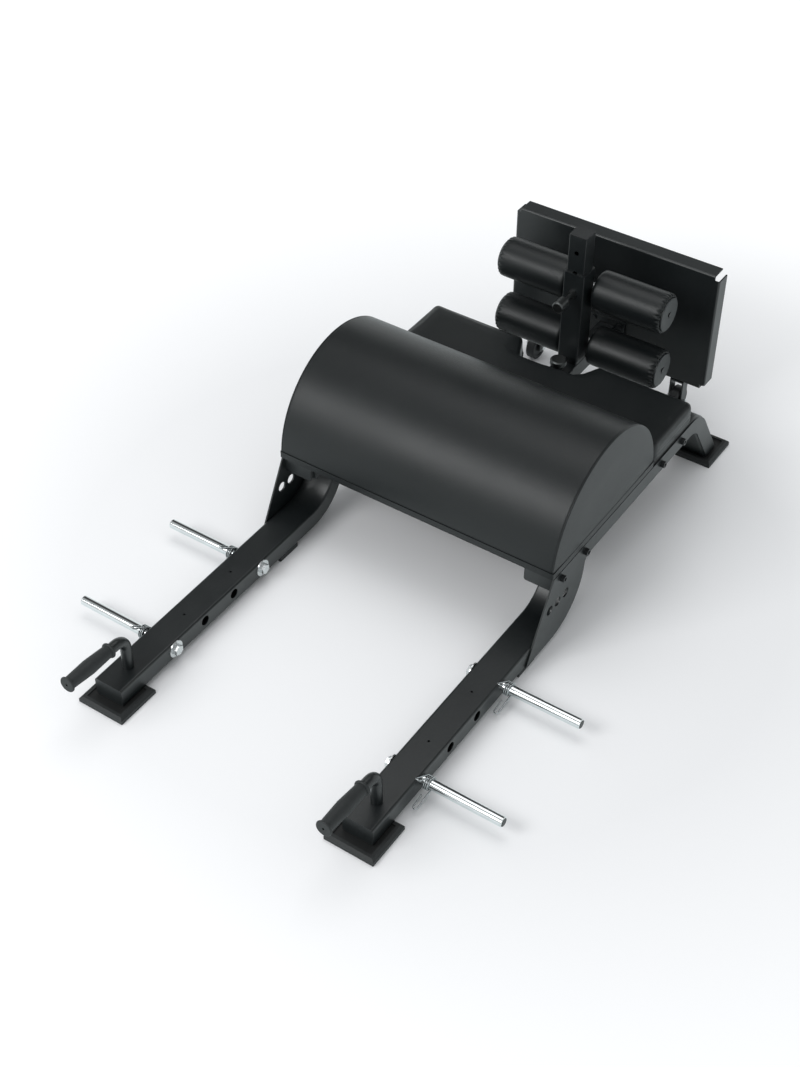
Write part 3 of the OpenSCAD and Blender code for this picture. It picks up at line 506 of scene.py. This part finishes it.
@dataclass(frozen=True)
class PowderCoat:
    """Satin black powder coat with a fine spray texture and a little dust."""

    name: str = "black_powder_coat"
    base: Triple = (0.0046, 0.0066, 0.0074)
    worn: Triple = (0.0070, 0.0092, 0.0100)
    dusty: Triple = (0.30, 0.31, 0.31)
    rough: float = 0.36
    shine: float = 0.62

    def build(self) -> bpy.types.Material:
        """Builds the material."""
        s = Shader(self.name)
        patches = s.effect(Effect.mottle(), "Mask", Scale=5.0)
        grain = s.effect(Effect.grain(), "Height", Scale=750.0)
        dust = s.effect(Effect.dust(), "Mask", Amount=0.035)
        colour = s.g.tint(patches, rgb(*self.base), rgb(*self.worn))
        s.set("Base Color", s.g.tint(dust, colour, rgb(*self.dusty)))
        clean = s.g.spread(patches, 0.0, 1.0, self.rough - 0.04, self.rough + 0.05)
        s.set("Roughness", s.g.math("ADD", clean, s.g.math("MULTIPLY", dust, 0.3)))
        s.set("Specular IOR Level", self.shine)
        s.set("Normal", s.bump(grain, 0.00012, 0.35))
        return s.material


@dataclass(frozen=True)
class PadVinyl:
    """Fine-grained black vinyl, slightly uneven over its foam, with painted shade in the creases
    between its pebbles.
    """

    name: str = "black_pad_vinyl"
    base: Triple = (0.0056, 0.0074, 0.0082)
    rubbed: Triple = (0.0080, 0.0100, 0.0108)
    painted_crease_shade: Triple = (0.004, 0.005, 0.005)
    dusty: Triple = (0.28, 0.29, 0.29)
    rough: float = 0.36
    shine: float = 0.38
    grain: float = 800.0
    emboss: float = 0.00010

    def build(self) -> bpy.types.Material:
        """Builds the material."""
        s = Shader(self.name)
        patches = s.effect(Effect.mottle(), "Mask", Scale=4.0)
        pebbles = s.effect(Effect.pebble(), "Height", Scale=self.grain)
        crease = s.effect(Effect.pebble(), "Crease", Scale=self.grain)
        dust = s.effect(Effect.dust(), "Mask", Amount=0.03)
        colour = s.g.tint(patches, rgb(*self.base), rgb(*self.rubbed))
        # The creases between the pebbles are darkened with painted shade.
        colour = s.g.tint(s.g.math("MULTIPLY", crease, 0.45), colour, rgb(*self.painted_crease_shade))
        s.set("Base Color", s.g.tint(dust, colour, rgb(*self.dusty)))
        s.set("Roughness", s.g.spread(patches, 0.0, 1.0, self.rough - 0.03, self.rough + 0.05))
        s.set("Specular IOR Level", self.shine)
        sway = s.bump(s.g.noise(s.place, 9.0, 2.0), 0.0012, 0.25)
        s.set("Normal", s.bump(pebbles, self.emboss, 0.5, sway))
        return s.material


@dataclass(frozen=True)
class Moulded:
    """Moulded rubber or plastic, matt, with a fine tool texture."""

    name: str
    base: Triple
    rough: float
    scale: float
    depth: float
    dust: float
    recess_shade_z: float = -1.0
    dusty: Triple = (0.26, 0.26, 0.25)

    def build(self) -> bpy.types.Material:
        """Builds the material; a flat face that looks up from below recess_shade_z is darkened
        with painted shade, as in a shaded recess.
        """
        s = Shader(self.name)
        patches = s.effect(Effect.mottle(), "Mask", Scale=14.0)
        grain = s.effect(Effect.grain(), "Height", Scale=self.scale)
        dust = s.effect(Effect.dust(), "Mask", Amount=self.dust)
        pale = tuple(c * 1.35 + 0.001 for c in self.base)
        # A darker copy of the base colour: painted shade for the low flat faces of recesses.
        painted_recess_shade = tuple(c * 0.3 for c in self.base)
        colour = s.g.tint(dust, s.g.tint(patches, rgb(*self.base), rgb(*pale)), rgb(*self.dusty))
        # Low flat faces that look up get the painted shade.
        s.set("Base Color", s.g.tint(s.sunk(self.recess_shade_z), colour, rgb(*painted_recess_shade)))
        s.set("Roughness", s.g.spread(patches, 0.0, 1.0, self.rough - 0.05, self.rough + 0.05))
        s.set("Normal", s.bump(grain, self.depth, 0.5))
        return s.material


@dataclass(frozen=True)
class Plated:
    """Bright plated steel with rub marks and a slightly uneven polish."""

    name: str
    base: Triple
    rough: float
    marks: float
    scale: float
    sawn_x: float = 9.0
    sawn: Triple = (0.05, 0.055, 0.055)

    def build(self) -> bpy.types.Material:
        """Builds the material; past sawn_x on either side the cut steel is dark and dull."""
        s = Shader(self.name)
        patches = s.effect(Effect.mottle(), "Mask", Scale=22.0)
        marks = s.effect(Effect.scratch(), "Mask", Scale=self.scale)
        dull = tuple(c * 0.86 for c in self.base)
        reach = s.g.math("ABSOLUTE", s.g.split(s.place)["X"])
        end = s.g.math("GREATER_THAN", reach, self.sawn_x)
        plate = s.g.tint(patches, rgb(*self.base), rgb(*dull))
        s.set("Base Color", s.g.tint(end, plate, rgb(*self.sawn)))
        s.set("Metallic", 1.0)
        polish = s.g.spread(patches, 0.0, 1.0, self.rough, self.rough + 0.05)
        rubbed = s.g.math("ADD", polish, s.g.math("MULTIPLY", marks, self.marks))
        s.set("Roughness", s.g.math("MAXIMUM", rubbed, s.g.math("MULTIPLY", end, 0.42)))
        s.set("Normal", s.bump(marks, 0.00002, 0.3))
        return s.material


@dataclass(frozen=True)
class Plywood:
    """Pad board of pale plywood, with long grain and glue lines."""

    name: str = "pad_board_plywood"
    pale: Triple = (0.50, 0.36, 0.22)
    ripe: Triple = (0.66, 0.52, 0.35)
    glue: Triple = (0.28, 0.19, 0.11)
    ply: float = 0.0015

    def build(self) -> bpy.types.Material:
        """Builds the material."""
        s = Shader(self.name)
        long_grain = s.g.add("ShaderNodeMapping")
        s.g.put(long_grain.inputs["Vector"], s.place)
        long_grain.inputs["Scale"].default_value = (1.0, 14.0, 14.0)
        fibre = s.g.noise(long_grain.outputs[0], 9.0, 6.0, 0.65)
        layers = s.g.math("PINGPONG", s.g.split(s.place)["Z"], self.ply)
        line = s.g.math("MULTIPLY", s.g.spread(layers, 0.0, 0.0004, 1.0, 0.0), 0.35)
        colour = s.g.tint(fibre, rgb(*self.pale), rgb(*self.ripe))
        s.set("Base Color", s.g.tint(line, colour, rgb(*self.glue)))
        s.set("Roughness", s.g.spread(fibre, 0.2, 0.8, 0.55, 0.75))
        s.set("Normal", s.bump(fibre, 0.0002, 0.4))
        return s.material


FINISHES = {
    Slot.FRAME: PowderCoat(),
    Slot.BLACK_STEEL: Moulded(
        "black_oxide_steel", (0.008, 0.009, 0.010), 0.36, 900.0, 0.00004, 0.04,
    ),
    Slot.LINER: Moulded("liner_plastic", (0.010, 0.011, 0.012), 0.42, 500.0, 0.00012, 0.04),
    # Below this height the recess floors of the feet get painted shade.
    Slot.FOOT: Moulded(
        "foot_rubber", (0.0092, 0.0108, 0.0114), 0.58, 420.0, 0.00020, 0.05, recess_shade_z=0.0145,
    ),
    Slot.GRIP: Moulded("grip_rubber", (0.0115, 0.0135, 0.0142), 0.60, 600.0, 0.00016, 0.05),
    Slot.PEG: Plated("bright_chrome", (0.74, 0.76, 0.77), 0.07, 0.05, 60.0, sawn_x=0.5978),
    Slot.ZINC: Plated("bright_zinc", (0.70, 0.71, 0.72), 0.24, 0.16, 90.0),
    Slot.VINYL: PadVinyl(),
    Slot.BOARD: Plywood(),
    Slot.WHEEL: Moulded("wheel_rubber", (0.012, 0.013, 0.014), 0.55, 500.0, 0.00015, 0.05),
    Slot.STEEL: Plated("turned_steel", (0.58, 0.59, 0.60), 0.28, 0.18, 120.0),
    Slot.CAP: Moulded("cap_plastic", (0.020, 0.023, 0.024), 0.46, 700.0, 0.00010, 0.04),
    Slot.PIN: Plated("dark_plated_pin", (0.105, 0.11, 0.11), 0.34, 0.12, 90.0),
    Slot.WIRE: Plated("plated_wire", (0.44, 0.46, 0.47), 0.13, 0.14, 140.0),
}


class Wardrobe:
    """Builds each finish once and dresses pieces and nodes with it."""

    def __init__(self) -> None:
        """Builds all the materials."""
        self.materials = {slot: finish.build() for slot, finish in FINISHES.items()}

    def dress(self, piece: bpy.types.Object, slot: Slot) -> None:
        """Gives a new piece the finish of a slot."""
        piece.data.materials.clear()
        piece.data.materials.append(self.materials[slot])

    def dress_nodes(self) -> int:
        """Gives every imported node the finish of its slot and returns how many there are."""
        parts = frame["record"]["subparts"]
        for part in parts:
            node = frame["nodes"][part["node"]]
            material = self.materials[Slot(part["material_slot"])]
            if not node.material_slots:
                node.data.materials.append(material)
            for slot in node.material_slots:
                slot.material = material
        return len(parts)


@dataclass
class ThighPad:
    """The half-round pad: a taut skin over foam on its covered board."""

    node: str = "cylinder_pad"
    around: int = 288
    step: float = 0.011
    plain_end: float = 0.010
    sewn_end: float = 0.008
    sewn_base: float = 0.004
    crown: float = 0.0015
    pressure: float = 3.0
    cap: float = 0.0018

    def rows(self, half: float, radius: float) -> list[tuple[float, float]]:
        """Half section of the right half of the pad.

        Args:
            half: half of the length of the pad.
            radius: radius of the padding.

        Returns:
            Place along the pad and radius of each ring, from the middle to the end face.
        """
        plain = half - self.plain_end
        count = round(plain / self.step)
        barrel = [(plain * k / count, radius) for k in range(count + 1)]
        sewn = (
            (0.0070, 0.0), (0.0052, 0.0001), (0.0044, 0.0010), (0.0037, 0.0011), (0.0031, 0.0002),
            (0.0022, 0.0), (0.0010, 0.0002), (0.0003, 0.0009), (0.0, 0.0020),
        )
        seam = [(half - back, radius - sunk) for back, sunk in sewn]
        parts = (
            0.985, 0.97, 0.94, 0.90, 0.85, 0.79, 0.72, 0.64,
            0.55, 0.45, 0.35, 0.26, 0.18, 0.11, 0.06, 0.035,
        )
        face = [(half + self.crown * (1 - part ** 6), radius * part) for part in parts]
        return barrel + seam + face

    def build(self, wardrobe: Wardrobe) -> bpy.types.Object:
        """Shapes the pad, blows it up and dresses it."""
        low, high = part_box(self.node)
        base = low.z
        half_chord = (high.y - low.y) / 2
        rise = high.z - base
        radius = (half_chord ** 2 + rise ** 2) / (2 * rise)
        axis = Vector((0, (low.y + high.y) / 2, high.z - radius))
        right = self.rows(high.x, radius)
        rows = [(-x, r) for x, r in reversed(right[1:])] + right
        pad = ring_up("thigh_pad", rows, self.around, axis)
        edit(pad, Element.VERT)
        bpy.ops.mesh.select_all(action="SELECT")
        bpy.ops.mesh.bisect(plane_co=(0, 0, base), plane_no=(0, 0, 1), clear_inner=True)
        leave_edit()
        outward(pad)
        ends = high.x - self.sewn_end

        def held(point: Vector) -> float:
            """Holds the base and the sewn edges round both end faces."""
            low_down = point.z < base + self.sewn_base
            at_end = abs(point.x) > ends and point.z < high.z
            return 1.0 if low_down or at_end and self.near_edge(point, axis, radius) else 0.0

        inflate(pad, held, self.pressure, self.cap)
        finish_with(pad, "SUBSURF", levels=1, render_levels=1)
        for vert in pad.data.vertices:
            vert.co.z = max(vert.co.z, base)
        edit(pad, Element.EDGE)
        bpy.ops.mesh.select_non_manifold(
            extend=False, use_wire=False, use_boundary=True,
            use_multi_face=False, use_non_contiguous=False, use_verts=False,
        )
        bpy.ops.mesh.edge_face_add()
        outward(pad)
        smooth(pad, 50)
        wardrobe.dress(pad, Slot.VINYL)
        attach(pad, Body.FRAME.value)
        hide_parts(self.node)
        return pad

    @staticmethod
    def near_edge(point: Vector, axis: Vector, radius: float) -> bool:
        """Whether a point lies on the sewn edge round an end face."""
        return math.hypot(point.y - axis.y, point.z - axis.z) > radius * 0.98


@dataclass
class FlatPad:
    """The flat pad with its notch, swollen a little between its edges."""

    node: str = "flat_pad"
    voxel: float = 0.004
    shrink: float = 0.0012
    glued: float = 0.022
    pressure: float = 1.0
    cap: float = 0.0009

    def build(self, wardrobe: Wardrobe) -> bpy.types.Object:
        """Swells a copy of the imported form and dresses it."""
        low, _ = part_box(self.node)
        pad = copy_node(self.node, "notched_pad")
        finish_with(pad, "REMESH", mode="VOXEL", voxel_size=self.voxel)
        base = low.z + self.glued
        for vert in pad.data.vertices:
            if vert.co.z > base:
                vert.co -= vert.normal * self.shrink
        inflate(pad, lambda p: 1.0 if p.z < base else 0.0, self.pressure, self.cap)
        finish_with(pad, "SUBSURF", levels=1, render_levels=1)
        for vert in pad.data.vertices:
            vert.co.z = max(vert.co.z, low.z)
        smooth(pad, 80)
        wardrobe.dress(pad, Slot.VINYL)
        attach(pad, Body.FRAME.value)
        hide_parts(self.node)
        return pad


@dataclass
class AnkleRollers:
    """Four foam rollers whose vinyl is gathered round their outer end caps."""

    names: tuple[str, ...] = ("upper_left", "upper_right", "lower_left", "lower_right")
    gathers: int = 25
    around: int = 225
    bore: float = 0.0206
    drawn: float = 0.0462

    def profile(self, length: float, radius: float) -> list[tuple[float, float, float]]:
        """Half section of a roller.

        Args:
            length: length of the padding.
            radius: largest radius of the padding.

        Returns:
            Place along the axle, radius, and depth of the gathers there.
        """
        plain = [
            (0.0, self.bore), (0.0, 0.034), (0.0004, 0.042), (0.0018, 0.0475),
            (0.0045, 0.0515), (0.0085, 0.0538), (0.0135, radius),
        ]
        inner = [(x, r, 0.0) for x, r in plain]
        middle = [(0.0135 + (length - 0.0385) * k / 8, radius, 0.0) for k in range(1, 9)]
        puckered = [
            (0.0170, radius, 0.0001), (0.0120, radius, 0.0006), (0.0080, 0.0543, 0.0019),
            (0.0048, 0.0538, 0.0033), (0.0022, 0.0527, 0.0042), (0.0004, 0.0511, 0.0042),
            (-0.0007, 0.0492, 0.0036), (-0.0008, 0.0474, 0.0026), (0.0002, self.drawn, 0.0014),
            (0.0016, 0.0446, 0.0005), (0.0024, 0.038, 0.0), (0.0024, self.bore, 0.0),
        ]
        return inner + middle + [(length - x, r, g) for x, r, g in puckered]

    def model(self) -> bpy.types.Object:
        """Models one roller along +X from the origin."""
        low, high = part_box("upper_right_roller")
        length, radius = high.x - low.x, (high.z - low.z) / 2
        rows = self.profile(length, radius)
        roller = ring_up("roller_model", [row[:2] for row in rows], self.around, Vector())
        self.gather(roller, rows)
        edit(roller, Element.EDGE)
        bpy.ops.mesh.select_non_manifold(use_boundary=True)
        bpy.ops.mesh.bridge_edge_loops()
        leave_edit()
        outward(roller)
        finish_with(roller, "SUBSURF", levels=1, render_levels=1)
        smooth(roller, 80)
        return roller

    def gather(self, roller: bpy.types.Object, rows: Sequence[tuple[float, float, float]]) -> None:
        """Draws the vinyl of the outer end into folds of uneven depth."""
        for vert in roller.data.vertices:
            reach = math.hypot(vert.co.y, vert.co.z)
            row = min(rows, key=lambda r: abs(r[0] - vert.co.x) + abs(r[1] - reach))
            if row[2] == 0:
                continue
            turn = math.atan2(vert.co.z, vert.co.y)
            uneven = 0.22 * math.cos(7 * turn + 1.0) + 0.15 * math.cos(11 * turn + 2.6)
            fold = abs(math.cos(self.gathers * turn / 2 + 0.35 * math.cos(4 * turn))) ** 0.7
            depth = row[2] * (fold - 1.0 + uneven * (1 - fold))
            lean = min(max((reach - self.drawn) / 0.0080, 0.0), 1.0) * math.pi / 2
            away = Vector((0, vert.co.y, vert.co.z)).normalized()
            vert.co += (away * math.sin(lean) + Vector((math.cos(lean), 0, 0))) * depth

    def build(self, wardrobe: Wardrobe) -> list[bpy.types.Object]:
        """Places and dresses a copy at each packed roller."""
        model = self.model()
        made = []
        for i, name in enumerate(self.names):
            node = f"{name}_roller"
            low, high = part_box(node)
            middle = (low + high) / 2
            turn = Matrix.Rotation(0.6 * i, 4, "X")
            if middle.x < 0:
                turn = Matrix.Rotation(math.pi, 4, "Z") @ turn
                start = high.x
            else:
                start = low.x
            place = Matrix.Translation((start, middle.y, middle.z)) @ turn
            roller = twin(model, f"{name}_padding", place)
            smooth(roller, 80)
            wardrobe.dress(roller, Slot.VINYL)
            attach(roller, f"{name}_roller")
            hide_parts(node)
            made.append(roller)
        bpy.data.objects.remove(model)
        return made


@dataclass
class SpringCollars:
    """Four wire collars, each one wire wound round its peg and looped at both ends."""

    names: tuple[str, ...] = ("front_left", "front_right", "rear_left", "rear_right")
    wire: float = 0.002
    coil: float = 0.0156
    pitch: float = 0.0047
    first: float = 37.0
    second: float = -10.0
    turns: int = 3
    loop: float = 0.066
    width: float = 0.011

    def spot(self, turn: float) -> Vector:
        """Point of the coil at an angle in degrees."""
        a = math.radians(turn)
        return Vector((turn * self.pitch / 360, -self.coil * math.cos(a), self.coil * math.sin(a)))

    def handle(self, turn: float, x: float, dx: float, way: int) -> list[Vector]:
        """Points of a looped handle that leaves the coil along its tangent."""
        a = math.radians(turn)
        start = Vector((x, -self.coil * math.cos(a), self.coil * math.sin(a)))
        u = way * Vector((0, math.sin(a), math.cos(a)))
        w = dx / 2
        out = [start + u * (d / 1000) for d in (5, 10, 17, 24, 31, 38, 45, 52)]
        bend = []
        for degrees in range(-90, 91, 15):
            b = math.radians(degrees)
            along = u * (self.loop - 0.008 + abs(w) * math.cos(b))
            bend.append(Vector((w + w * math.sin(b), 0, 0)) + start + along)
        back = [start + Vector((dx, 0, 0)) + u * (d / 1000) for d in (50, 44, 38, 32, 26)]
        return out + bend + back

    def path(self) -> list[Vector]:
        """Whole centreline of a collar, from one cut end to the other."""
        start = 90 + self.first
        end = 270 + self.second + 360 * self.turns
        steps = 160
        shift = Vector((start * self.pitch / 360, 0, 0))
        coil = [self.spot(start + (end - start) * i / steps) - shift for i in range(steps + 1)]
        head = self.handle(start, 0.0, self.width, -1)
        tail = self.handle(end, coil[-1].x, -self.width, 1)
        return head[::-1] + coil + tail

    def model(self) -> bpy.types.Object:
        """Models one collar round the X axis, its frame side at x = 0."""
        points = self.path()
        leave_edit()
        bpy.ops.curve.primitive_bezier_curve_add()
        wire = bpy.context.active_object
        wire.name = "collar_model"
        wire.data.splines.clear()
        spline = wire.data.splines.new("POLY")
        spline.points.add(len(points) - 1)
        for slot, point in zip(spline.points, points):
            slot.co = (*point, 1.0)
        wire.data.dimensions = "3D"
        wire.data.bevel_depth = self.wire
        wire.data.bevel_resolution = 5
        wire.data.use_fill_caps = True
        bpy.ops.object.convert(target="MESH")
        wire = fresh("collar_model")
        outward(wire)
        smooth(wire, 50)
        return wire

    def build(self, wardrobe: Wardrobe) -> list[bpy.types.Object]:
        """Places and dresses a copy on each peg."""
        model = self.model()
        made = []
        for name in self.names:
            node = f"{name}_collar"
            peg_low, peg_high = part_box(f"{name}_peg")
            low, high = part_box(node)
            right = peg_high.x > 0
            axis = Vector((0, (peg_low.y + peg_high.y) / 2, (peg_low.z + peg_high.z) / 2))
            edge = low.x if right else high.x
            clear = self.wire if right else -self.wire
            move = Matrix.Translation((edge + clear, axis.y, axis.z))
            if not right:
                move = move @ Matrix.Scale(-1, 4, (1, 0, 0))
            collar = twin(model, f"{name}_spring_collar", move)
            smooth(collar, 50)
            wardrobe.dress(collar, Slot.WIRE)
            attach(collar, node)
            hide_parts(node)
            made.append(collar)
        bpy.data.objects.remove(model)
        return made


@dataclass(frozen=True)
class Softbox:
    """One rectangular soft light."""

    name: str
    place: Triple
    aim: Triple
    size: tuple[float, float]
    power: float
    colour: Triple = (0.98, 0.995, 1.0)

    def build(self) -> None:
        """Hangs the light and turns it to its aim."""
        data = bpy.data.lights.new(self.name, "AREA")
        data.shape = "RECTANGLE"
        data.size, data.size_y = self.size
        data.energy = self.power
        data.color = self.colour
        light = bpy.data.objects.new(self.name, data)
        bpy.context.scene.collection.objects.link(light)
        light.location = self.place
        way = Vector(self.aim) - Vector(self.place)
        light.rotation_euler = way.to_track_quat("-Z", "Y").to_euler()


SOFTBOXES = (
    Softbox("key_softbox", (-1.75, -3.7, 3.3), (0, -0.1, 0.2), (2.6, 2.0), 100),
    Softbox("top_softbox", (-0.6, 1.0, 4.5), (0, 0, 0), (3.0, 3.0), 46),
)


@dataclass
class Studio:
    """White floor, plain soft light and the camera of the photograph."""

    eye: Triple = (1.68374, -2.61113, 2.96376)
    target: Triple = (-0.06237, -0.04566, 0.100)
    focal: float = 57.49
    ambient: Triple = (0.610, 0.636, 0.645)
    mirrored: Triple = (0.96, 1.0, 1.0)
    floor_lit: Triple = (0.76, 0.79, 0.80)
    floor_seen: Triple = (0.900, 0.888, 0.897)
    floor_size: float = 24

    def camera(self) -> None:
        """Sets the camera at the viewing angle of the photograph."""
        data = bpy.data.cameras.new("camera")
        data.sensor_fit = "VERTICAL"
        data.sensor_height = 36.0
        data.sensor_width = 27.0
        data.lens = self.focal
        data.clip_end = 60
        camera = bpy.data.objects.new("camera", data)
        bpy.context.scene.collection.objects.link(camera)
        camera.location = self.eye
        way = Vector(self.target) - Vector(self.eye)
        camera.rotation_euler = way.to_track_quat("-Z", "Y").to_euler()
        bpy.context.scene.camera = camera

    def world(self) -> None:
        """A white room; glossy faces see it dark above the floor behind, and grey overhead."""
        world = bpy.data.worlds.new("room")
        bpy.context.scene.world = world
        world.use_nodes = True
        world.node_tree.nodes.clear()
        g = Graph(world.node_tree)
        ray = g.add("ShaderNodeLightPath")
        way = g.split(g.add("ShaderNodeTexCoord").outputs["Generated"])
        height = way["Z"]
        front = g.spread(height, 0.20, 0.90, 0.86, 0.50)
        low = g.spread(height, 0.30, 0.50, 1.0, 0.06)
        high = g.spread(height, 0.87, 0.97, 0.0, 0.44)
        behind = g.spread(way["Y"], -0.15, 0.25, 0.0, 1.0)
        shade = g.tint(behind, front, g.math("MAXIMUM", low, high))
        glossy = g.tint(shade, rgb(0.0, 0.0, 0.0), rgb(*self.mirrored))
        room = g.tint(ray.outputs["Is Glossy Ray"], rgb(*self.ambient), glossy)
        colour = g.tint(ray.outputs["Is Camera Ray"], room, rgb(1.0, 1.0, 1.0))
        back = g.add("ShaderNodeBackground")
        g.put(back.inputs["Color"], colour)
        out = g.add("ShaderNodeOutputWorld")
        g.put(out.inputs["Surface"], back.outputs[0])

    def floor(self) -> None:
        """Lays a large floor that keeps the shadows and turns white away from the machine through
        painted light, a glow that only the camera sees.
        """
        leave_edit()
        bpy.ops.mesh.primitive_plane_add(size=self.floor_size, location=(0, 0, 0))
        floor = fresh("studio_floor")
        material = bpy.data.materials.new("studio_floor_white")
        material.use_nodes = True
        material.node_tree.nodes.clear()
        g = Graph(material.node_tree)
        ray = g.add("ShaderNodeLightPath")
        unseen = g.tint(ray.outputs["Is Glossy Ray"], rgb(*self.floor_lit), rgb(*self.mirrored))
        colour = g.tint(ray.outputs["Is Camera Ray"], unseen, rgb(*self.floor_seen))
        plain = g.add("ShaderNodeBsdfDiffuse")
        g.put(plain.inputs["Color"], colour)
        reach = g.add("ShaderNodeVectorMath", operation="LENGTH")
        g.put(reach.inputs[0], g.add("ShaderNodeTexCoord").outputs["Object"])
        # Painted light: away from the machine the floor glows for camera rays, so it turns white
        # there.
        far = g.spread(reach.outputs["Value"], 0.9, 5.0, 0.0, 1.0)
        painted_floor_light = g.add("ShaderNodeEmission")
        g.put(painted_floor_light.inputs["Strength"], g.math("MULTIPLY", far, ray.outputs["Is Camera Ray"]))
        both = g.add("ShaderNodeAddShader")
        g.put(both.inputs[0], plain.outputs[0])
        g.put(both.inputs[1], painted_floor_light.outputs[0])
        out = g.add("ShaderNodeOutputMaterial")
        g.put(out.inputs["Surface"], both.outputs[0])
        floor.data.materials.append(material)
        leave_edit()

    def build(self) -> None:
        """Sets the whole studio up."""
        bpy.context.scene.view_settings.view_transform = "Standard"
        self.camera()
        self.world()
        self.floor()
        for softbox in SOFTBOXES:
            softbox.build()


def main() -> None:
    """Builds every class in order."""
    logging.basicConfig(level=logging.INFO, format="%(name)s: %(message)s")
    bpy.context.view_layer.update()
    leave_edit()
    Studio().build()
    log.info("studio ready")
    wardrobe = Wardrobe()
    log.info("dressed %d packed nodes", wardrobe.dress_nodes())
    pad = ThighPad().build(wardrobe)
    log.info("%s: %d faces", pad.name, len(pad.data.polygons))
    flat = FlatPad().build(wardrobe)
    log.info("%s: %d faces", flat.name, len(flat.data.polygons))
    for roller in AnkleRollers().build(wardrobe):
        log.info("%s: %d faces", roller.name, len(roller.data.polygons))
    for collar in SpringCollars().build(wardrobe):
        log.info("%s: %d faces", collar.name, len(collar.data.polygons))


if __name__ == "__main__":
    main()
